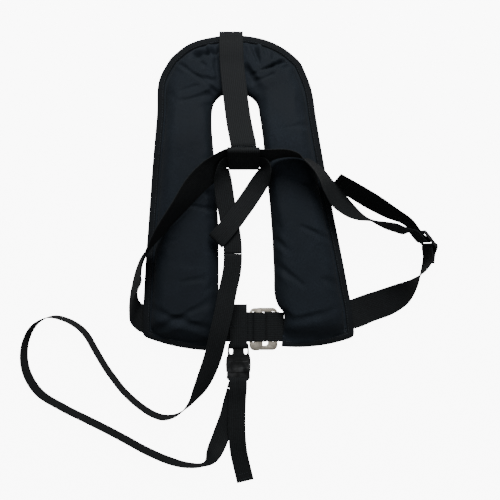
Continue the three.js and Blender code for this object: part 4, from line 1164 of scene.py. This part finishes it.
NOOSE_ROUTE = [
    [8, 97, 61.5, 0.8, -0.6, 0], [-3, 80.5, 60.9, 0.79, -0.61, 0], [-14, 65, 59.6, 0.76, -0.65, 0],
    [-28, 46, 55.6, 0.74, -0.67, 0], [-42, 29, 55, 0.72, -0.7, 0], [-52, 18, 56.6, 0.72, -0.7, 0],
    [-55, 14.8, 58.4, 0.72, -0.7, 0], [-56, 13.8, 61, 0.72, -0.7, 0], [-55, 14.8, 63.6, 0.72, -0.7, 0],
    [-52, 18, 65.2, 0.72, -0.7, 0], [-42, 29, 67, 0.72, -0.7, 0], [-28, 46, 66.4, 0.74, -0.67, 0],
    [-14, 65, 64.4, 0.76, -0.65, 0], [-3, 80.5, 63.6, 0.79, -0.61, 0], [8, 97, 64.2, 0.83, -0.55, 0.05],
    [16.5, 110, 67.5, 0.85, -0.4, 0.25], [22.6, 121, 72, 0.7, -0.1, 0.6], [26, 130, 75.5, 0.45, 0.2, 0.8],
    [24, 136.3, 75.6, 0.2, 0.36, 0.9], KEEPER.stop(27.5, NOOSE_UP, -BELT_OUT),
    KEEPER.stop(24, NOOSE_UP, -BELT_OUT), KEEPER.stop(0, NOOSE_UP, -BELT_OUT),
    KEEPER.stop(-24, NOOSE_UP, -BELT_OUT), KEEPER.stop(-27, NOOSE_UP, -BELT_OUT),
    [-41, 136.8, 75.4, -0.2, 0.36, 0.9], [-43.8, 130.6, 75.2, -0.42, 0.2, 0.84],
    [-44, 122.5, 72.5, -0.7, 0, 0.65], [-43.5, 110, 68, -0.95, -0.05, 0.3],
    [-42, 97, 65.4, -1, -0.1, 0.05], [-38.5, 73, 62.8, -1, -0.15, 0], [-34, 48, 61.2, -1, -0.2, 0],
    [-30, 24, 61, -1, -0.1, 0], [-28, 6, 61, -1, -0.02, 0], [-27.8, -6, 60.7, -1, 0, 0],
]
CROTCH_ROUTE = [
    [-27.8, -6.05, 60.7, -1, 0, 0], [-27.9, -18, 60, -1, 0.02, 0], [-30, -38, 58.3, -1, 0.12, 0],
    [-36, -65, 56, -1, 0.2, 0], [-43, -101, 55, -1, 0.2, 0], [-52, -139, 50, -1, 0.25, 0],
    [-61, -175, 38, -1, 0.3, 0.1], [-73, -209, 27, -0.95, 0.4, 0.4], [-86, -238, 19, -0.6, 0.5, 0.8],
    [-97, -256, 16.5, -0.25, 0.3, 0.95], [-111, -272, 16, -0.1, 0.15, 1], [-128, -283, 16, 0, 0.1, 1],
    [-147, -286, 16, 0, 0, 1], [-164, -281, 16, 0, 0, 1], [-181, -271, 16, 0, 0, 1],
    [-201, -255, 16, 0, 0, 1], [-218, -238, 16, 0, 0, 1], [-232, -220, 16, 0, 0, 1],
    [-245, -202, 16, 0, 0, 1], [-256, -184, 16, 0, 0, 1], [-267, -165, 16, 0, 0, 1],
    [-276, -149, 16, 0, 0, 1], [-290, -133, 16, 0, 0, 1], [-314, -119, 16, 0, 0, 1],
    [-341, -114, 16, 0, 0, 1], [-368, -128, 16, 0, 0, 1], [-384, -161, 16, 0, 0, 1],
    [-383, -203, 16, 0, 0, 1], [-361, -242, 16, 0, 0, 1], [-319, -269, 16, 0, 0, 1],
    [-277, -290, 16, 0, 0, 1], [-241, -308, 16, 0, 0, 1], [-211, -324, 16, 0, 0, 1],
    [-178, -342, 16, 0, 0, 1], [-139, -359, 16, 0, 0, 1], [-108, -367, 16, 0, 0.1, 1],
    [-80, -366, 16.4, 0.1, 0.2, 1], [-66, -354, 13.4, 0.5, -0.4, 0.75],
    [-56.5, -337, 6, 0.85, -0.45, 0.25], [-47, -313, 2.2, 0.93, -0.36, 0.02],
    [-37.5, -287, 1.8, 0.95, -0.31, 0], [-31.6, -264, 2, 0.96, -0.26, 0],
    [-27.6, -250, 2.8, 0.97, -0.22, 0], [-25.8, -242.2, 3.9, 0.98, -0.2, 0],
]
TAIL_ROUTE = [
    [-25.4, -241.1, 4.25, 0.98, -0.2, 0], [-24.2, -236.5, UNDER_Z - 0.5, 0.98, -0.18, 0],
    [-21, -228, UNDER_Z - 0.2, 1, -0.06, 0], [-20, BAR_Y + 0.6, UNDER_Z - 0.2, 1, 0, 0],
    [-20, BAR_Y + 2.8, UNDER_Z, 1, 0, 0], [-20, BAR_Y + 4.5, UNDER_Z + 1.8, 1, 0, 0],
    [-20, BAR_Y + 5, BUCKLE_Z, 1, 0, 0], [-20, BAR_Y + 4.5, OVER_Z - 1.8, 1, 0, 0],
    [-20, BAR_Y + 2.8, OVER_Z, 1, 0, 0], [-20, BAR_Y, OVER_Z + 0.2, 1, 0, 0],
    [-20, -232, OVER_Z + 0.2, 1, 0, 0], [-20.3, -238.5, OVER_Z - 0.3, 1, 0, 0],
    [-21, -246, 14.4, 1, 0, 0], [-21.8, -259, 11.4, 1, -0.02, 0], [-22.6, -284, 10.2, 1, 0, 0],
    [-22.7, -309, 10, 1, 0.03, 0], [-21.6, -328, 8.8, 1, 0.06, 0], [-19.4, -350, 5, 1, 0.1, 0],
    [-13.5, -378, 2, 1, 0.15, 0], [-8, -401, 1.4, 1, 0.2, 0],
]

FRONT_Y = -131.0
HINGE_X, HINGE_Z, WEB_TURN = 1.2, 17.5, 4.3
RING_Z, RING_TURN = 13.0, 3.9


def turn_round(x: float, z: float, radius: float, side: int) -> list[tuple[float, float]]:
    """Stops of a strap that turns round an upright bar.

    Args:
        x: Bar's middle.
        z: Bar's height.
        radius: Webbing's middle from the bar's middle.
        side: +1 if the strap passes right of the bar, -1 if left.

    Returns:
        Rows of x, z.
    """
    return [(x + side * radius * math.cos(a), z + radius * math.sin(a))
            for a in np.radians((75, 35, 0, -35, -75))]


def front_route(rows: Iterable[tuple[float, float]]) -> list[list[float]]:
    """Route of a front strap given in its long section.

    Args:
        rows: x, z stops.

    Returns:
        Route rows.
    """
    return [[x, FRONT_Y, z, 0, 1, 0] for x, z in rows]


def socket_loop() -> list[list[float]]:
    """Route of the loop that holds the socket, lapped on its lower face.

    Returns:
        Route rows.
    """
    top, foot, z, r = -94.0, BUCKLE_TOP - 7, 16.5, 5.5
    a, b = top - 4.5, foot + 4.5
    ring = [(a - 12, z - r), (a - 2, z - r)]
    ring += [(a + r * math.sin(t), z - r * math.cos(t)) for t in np.radians((20, 60, 90, 120, 160))]
    ring += [(a - 4, z + r), (b + 4, z + r)]
    ring += [(b - r * math.sin(t), z + r * math.cos(t)) for t in np.radians((20, 60, 90, 120, 160))]
    ring += [(b + 2, z - r), (a - 14, z - r)]
    return [[BUCKLE_X, y, height, 1, 0, 0] for y, height in ring]


class Harness:
    """Straps of the jacket with their sewn boxes."""

    def __init__(self) -> None:
        """Lay out every strap's route."""
        sheet = WEB_THICK + GAP
        self.back = Strap("back_strap_web", 40, BACK_STRAP_ROUTE)
        self.keeper = Strap("back_keeper_loop", 50, KEEPER.loop(), skewed=0)
        self.belt = Strap("waist_belt_web", 50, BELT_ROUTE, skewed=7)
        self.lobe = Strap("lobe_strap_web", 50, LOBE_STRAP_ROUTE)
        self.front_left = Strap("front_strap_left_web", 50, front_route([
            (-49.2, SEAM_Z), (-36, SEAM_Z - 0.1), (-22, SEAM_Z - 0.1), (-10, SEAM_Z + 0.6),
            *turn_round(HINGE_X, HINGE_Z, WEB_TURN, 1), (-6, 14.2), (-14, SEAM_Z - 0.1 - sheet),
            (-24, SEAM_Z - 0.15 - sheet), (-32, SEAM_Z - 0.15 - sheet)]))
        self.front_right = Strap("front_strap_right_web", 50, front_route([
            (58, SEAM_Z), (51.8, SEAM_Z), (47, SEAM_Z - 0.6), (40, 16.8), (32, 16.3), (27.5, 16.1),
            (25.6, 15.2), (25.0, 13.0), (25.8, 10.9), (28, 10.0), (36, 9.9),
            (46.5, RING_Z - RING_TURN - 0.1), (50, RING_Z - RING_TURN - 0.2)]))
        self.sleeve = Strap("plate_sleeve_web", 50, front_route([
            (6.4, 14.6), (5.2, 16.0), (5.0, 18.2), (6.0, 20.0), (8.0, 20.5), (13, 20.6), (19, 20.6),
            (24.4, 20.4),
            (26.8, 19.6), (27.8, 18.4)]))
        self.socket = Strap("crotch_socket_web", 30, socket_loop())
        self.noose = Strap("crotch_noose_web", 30, NOOSE_ROUTE)
        self.crotch = Strap("crotch_strap_web", 30, CROTCH_ROUTE)
        self.tail = Strap("crotch_tail_web", 30, TAIL_ROUTE)

    def build(self) -> None:
        """Make the straps, the crotch strap and all their stitching."""
        worn = {
            "back_strap": self.back, "back_keeper": self.keeper, "waist_belt": self.belt,
            "lobe_strap_right": self.lobe, "front_strap_left": self.front_left,
            "front_strap_right": self.front_right, "crotch_socket_loop": self.socket,
            "crotch_noose": self.noose,
        }
        for node, strap in worn.items():
            obj = strap.build()
            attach(obj, Body.JACKET.value)
            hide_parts(node)
            report(obj)
        sleeve = self.sleeve.build()
        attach(sleeve, "buckle_plate")
        report(sleeve)
        tail = self.tail.build()
        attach(tail, Body.PLUG.value)
        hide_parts("crotch_tail")
        report(tail)
        self.hang()
        self.sew()

    def hang(self) -> None:
        """Make the free crotch strap, which runs from the jacket to the plug."""
        obj = self.crotch.build()
        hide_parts("crotch_strap")
        path = [tuple(p) for p in DRAWING.place(self.crotch.middles[::4])]
        last = tuple(DRAWING.place(self.crotch.middles[-1:])[0])
        if path[-1] != last:
            path.append(last)
        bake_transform(obj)
        LOG.info("crotch strap: %.3f m", self.crotch.length * MM)

    def sew(self) -> None:
        """Lay the thread of every sewn end."""
        top = lambda strap: 1 if strap.ups[len(strap.ups) // 2][2] >= 0 else -1
        lines = []
        for strap, spans in (
            (self.back, [(4, 34), (-30, -4)]),
            (self.front_left, [(6, 26)]),
            (self.noose, [(5, 17), (18, 30)]),
        ):
            side = top(strap)
            for start, end in spans:
                a = start if start >= 0 else strap.length + start
                b = end if end > 0 else strap.length + end
                lines += strap.box_seam(a, b, side, cross=b - a > 20)
        for strap, along in ((self.belt, -6), (self.belt, -22), (self.tail, -5), (self.tail, -14),
                             (self.socket, 60)):
            side = top(strap)
            place = strap.length + along if along < 0 else along
            half = strap.width / 2 - 2.5
            lines += [strap.seam([(place, -half), (place, half)], s) for s in (1, -1)]
        thread = Stitching().build("harness_stitching", lines)
        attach(thread, Body.JACKET.value)
        report(thread)


# ---- hardware ----------------------------------------------------------------------------------
@dataclass(frozen=True)
class Hardware:
    """Moulded and pressed fittings: the CAD solids with softened edges and their real finish."""

    bevel: float = 0.6
    pieces: tuple = (
        ("waist_adjuster", ACETAL, "jacket", 0.9), ("buckle_plate", STAINLESS, "buckle_plate", 0.7),
        ("buckle_ring", STAINLESS, "jacket", 0.7), ("plug_arm_left", ACETAL, "plug_arm_left", 0.9),
        ("plug_arm_right", ACETAL, "plug_arm_right", 0.9),
    )
    oval: tuple = (3.2, 7.5)  # half sizes of the gaps beside the socket's neck

    def soften(self, node: str, finish: Finish, body: str, bevel: float) -> bpy.types.Object:
        """Copy a CAD solid, tidy its faces and round its edges.

        Args:
            node: CAD node to stand in for.
            finish: Its finish.
            body: Body it rides on.
            bevel: Edge radius in millimetres.

        Returns:
            The softened piece.
        """
        source = bpy.data.objects[node]
        mesh = source.data.copy()
        mesh.transform(source.matrix_world)
        obj = bpy.data.objects.new(f"{node}_moulded", mesh)
        bpy.context.scene.collection.objects.link(obj)
        work = bmesh.new()
        work.from_mesh(mesh)
        bmesh.ops.remove_doubles(work, verts=work.verts, dist=1e-5)
        bmesh.ops.dissolve_limit(work, angle_limit=math.radians(2), verts=work.verts, edges=work.edges)
        work.to_mesh(mesh)
        work.free()
        mesh.materials.clear()
        rounder = obj.modifiers.new("edges", "BEVEL")
        rounder.width = bevel * MM
        rounder.segments = 3
        rounder.limit_method = "ANGLE"
        rounder.angle_limit = math.radians(40)
        bake_modifiers(obj)
        obj.data.polygons.foreach_set("use_smooth", [True] * len(obj.data.polygons))
        obj.data.set_sharp_from_angle(angle=math.radians(35))
        "stainless" if isinstance(finish, TumbledSteel) else "acetal"
        finish.put_on(obj)
        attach(obj, body)
        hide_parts(node)
        report(obj)
        return obj

    def pressed(self, name: str, outlines: Sequence[Sequence[tuple[float, float]]], low: float, high: float,
                node: str, body: str) -> bpy.types.Object:
        """Moulded block with a smooth outline, holes and rounded edges.

        Args:
            name: Piece name.
            outlines: Outer outline then holes, as drawing x, y rows.
            low: Underside height.
            high: Upper face height.
            node: CAD node it stands for; empty for an added detail.
            body: Body it rides on.

        Returns:
            The block.
        """
        curve = bpy.data.curves.new(name, "CURVE")
        curve.dimensions = "2D"
        curve.fill_mode = "BOTH"
        curve.extrude = ((high - low) / 2 - self.bevel) * MM
        curve.bevel_depth = self.bevel * MM
        curve.bevel_resolution = 2
        curve.offset = -self.bevel * MM
        for outline in outlines:
            spline = curve.splines.new("POLY")
            spline.points.add(len(outline) - 1)
            for point, (x, y) in zip(spline.points, outline):
                place = DRAWING.place(np.array([(x, y, 0.0)]))[0]
                point.co = (place[0], place[1], 0.0, 1.0)
            spline.use_cyclic_u = True
        shape = bpy.data.objects.new(name, curve)
        bpy.context.scene.collection.objects.link(shape)
        bpy.context.view_layer.update()
        graph = bpy.context.evaluated_depsgraph_get()
        mesh = bpy.data.meshes.new_from_object(shape.evaluated_get(graph), depsgraph=graph)
        bpy.data.objects.remove(shape)
        mesh.transform(Matrix.Translation((0, 0, (low + high) / 2 * MM)))
        obj = bpy.data.objects.new(name, mesh)
        bpy.context.scene.collection.objects.link(obj)
        obj.data.polygons.foreach_set("use_smooth", [True] * len(obj.data.polygons))
        obj.data.set_sharp_from_angle(angle=math.radians(40))
        ACETAL.put_on(obj)
        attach(obj, body)
        if node:
            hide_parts(node)
        report(obj)
        return obj

    def ellipse(self, x: float, y: float, wide: float, tall: float,
                count: int = 20) -> list[tuple[float, float]]:
        """Rows of an ellipse's outline."""
        return [(x + wide * math.cos(a), y + tall * math.sin(a))
                for a in np.linspace(0, 2 * math.pi, count + 1)[:-1]]

    def socket_and_plug(self) -> None:
        """Side-release socket with its waisted neck, and the plug that the tail hides."""
        x = BUCKLE_X
        half = [(14, -160), (17, -162), (18, -167), (18, -174), (18.6, -181), (20.8, -186),
                (21.4, -196), (20.6, -208)]
        outline = [(x + u, y) for u, y in half] + [(x - u, y) for u, y in reversed(half)]
        wide, tall = self.oval
        gaps = [self.ellipse(x + side * 12.6, -173.0, wide, tall) for side in (-1, 1)]
        self.pressed("socket_shell", [outline, *gaps], 4.6, 17.2, "release_socket", Body.JACKET.value)
        brow = [(x - 17, -190), (x + 17, -190), (x + 18.6, -199.5), (x - 18.6, -199.5)]
        self.pressed("socket_brow", [brow], 14.0, 18.0, "", Body.JACKET.value)
        half = [(19.5, -208.6), (20, -219), (17, -223), (13.6, -224), (13.4, -235.8)]
        outline = [(x + u, y) for u, y in half] + [(x - u, y) for u, y in reversed(half)]
        self.pressed("plug_shell", [outline], 7.2, 14.8, "release_plug", Body.PLUG.value)

    def build(self) -> None:
        """Make every fitting."""
        for piece in self.pieces:
            self.soften(*piece)
        self.socket_and_plug()


class Inflation:
    """Bladder, inflator and oral tube inside the cover, kept as the CAD has them and finished here."""

    finishes = {
        "bladder": BLADDER_CLOTH, "manifold": BRASS, "manifold_nut": BRASS, "inflator_body": ACETAL,
        "co2_cylinder": ZINC_STEEL, "firing_pin": STAINLESS, "firing_spring": STAINLESS, "lever": ACETAL,
        "lever_pin": STAINLESS, "safety_clip": SAFETY_GREEN, "auto_cap": ACETAL, "bobbin": SIGNAL_ORANGE,
        "pull_lanyard": HARNESS_WEB, "pull_toggle": SIGNAL_RED, "oral_base": ACETAL, "oral_tube": ACETAL,
        "oral_valve_body": ACETAL, "oral_poppet": BRASS, "oral_spring": STAINLESS, "oral_cap": SIGNAL_RED,
        "whistle": SIGNAL_ORANGE,
    }

    def build(self) -> None:
        """Finish each inner part."""
        for node, finish in self.finishes.items():
            finish.put_on(bpy.data.objects[node])
        self.slack_bladder()

    @staticmethod
    def slack_bladder(thinner: float = 6.0) -> None:
        """Folded bladder drawn in from the cover so that creases never meet it.

        Args:
            thinner: How far its skin is drawn in, in millimetres.
        """
        source = bpy.data.objects["bladder"]
        mesh = source.data.copy()
        mesh.transform(source.matrix_world)
        obj = bpy.data.objects.new("bladder_folded", mesh)
        bpy.context.scene.collection.objects.link(obj)
        work = bmesh.new()
        work.from_mesh(mesh)
        bmesh.ops.remove_doubles(work, verts=work.verts, dist=1e-5)
        middle = sum((v.co.z for v in work.verts)) / len(work.verts)
        for vertex in work.verts:
            vertex.co -= vertex.normal * thinner * MM
            vertex.co.z = middle + (vertex.co.z - middle) * 0.6
        work.to_mesh(mesh)
        work.free()
        BLADDER_CLOTH.put_on(obj)
        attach(obj, Body.JACKET.value)
        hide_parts("bladder")
        report(obj)


# ---- studio ------------------------------------------------------------------------------------
@dataclass(frozen=True)
class Studio:
    """Straight-down camera, pale floor and soft light from the collar side."""

    height: float = 0.9
    lens: float = 37.29
    floor_reach: float = 3.0  # half the floor's side, in metres
    floor_z: float = -0.0006
    glow: float = 9.0  # seen by the camera only; it lights nothing

    def camera(self) -> None:
        """Place the camera over the drawing's origin."""
        data = bpy.data.cameras.new("camera")
        data.lens = self.lens
        data.sensor_width = 36.0
        data.dof.use_dof = False
        camera = bpy.data.objects.new("camera", data)
        middle = DRAWING.shift()
        camera.location = (middle.x, middle.y, self.height)
        bpy.context.scene.collection.objects.link(camera)
        bpy.context.scene.camera = camera

    def lamp(self, name: str, place: Sequence[float], size: float, power: float) -> None:
        """Soft square lamp aimed at the jacket.

        Args:
            name: Lamp name.
            place: Where it hangs, in metres from the drawing's origin.
            size: Side of the square.
            power: Watts.
        """
        data = bpy.data.lights.new(name, "AREA")
        data.size = size
        data.energy = power
        lamp = bpy.data.objects.new(name, data)
        lamp.location = DRAWING.shift() + Vector(place)
        lamp.rotation_euler = Vector(place).to_track_quat("Z", "Y").to_euler()
        bpy.context.scene.collection.objects.link(lamp)

    def floor(self) -> None:
        """Large pale floor just under the jacket, which looks brighter to the camera than it lights."""
        mesh = bpy.data.meshes.new("floor")
        reach, under = self.floor_reach, self.floor_z
        mesh.from_pydata([(-reach, -reach, under), (reach, -reach, under),
                          (reach, reach, under), (-reach, reach, under)], [], [(0, 1, 2, 3)])
        obj = bpy.data.objects.new("floor", mesh)
        # a matt sheet, made to look near white by a glow that only the camera sees
        material = bpy.data.materials.new("light_table")
        material.use_nodes = True
        shader = material.node_tree.nodes["Principled BSDF"]
        shader.inputs["Base Color"].default_value = linear("#8f8f8f")
        shader.inputs["Roughness"].default_value = 0.95
        shader.inputs["Emission Color"].default_value = linear("#ffffff")
        seen = add_node(material.node_tree, "ShaderNodeLightPath").outputs["Is Camera Ray"]
        glow = add_node(material.node_tree, "ShaderNodeMath", {0: seen, 1: self.glow},
                        operation="MULTIPLY").outputs[0]
        material.node_tree.links.new(glow, shader.inputs["Emission Strength"])
        mesh.materials.append(material)
        bpy.context.scene.collection.objects.link(obj)

    def build(self) -> None:
        """Set everything up."""
        self.camera()
        self.floor()
        self.lamp("sky_window", (0.1, 1.3, 1.3), 0.8, 62)
        self.lamp("overhead", (-0.3, 0.1, 1.9), 1.6, 9)
        self.lamp("side_fill", (1.2, -0.5, 1.3), 1.2, 5)
        world = bpy.data.worlds.new("room")
        world.use_nodes = True
        backdrop = world.node_tree.nodes["Background"]
        backdrop.inputs["Color"].default_value = linear("#f3f4f6")
        backdrop.inputs["Strength"].default_value = 0.3
        bpy.context.scene.world = world


def main() -> None:
    """Build the jacket piece by piece."""
    logging.basicConfig(level=logging.INFO, format="%(message)s")
    Studio().build()
    Hardware().build()
    Harness().build()
    Cover().build()
    Inflation().build()


if __name__ == "__main__":
    main()
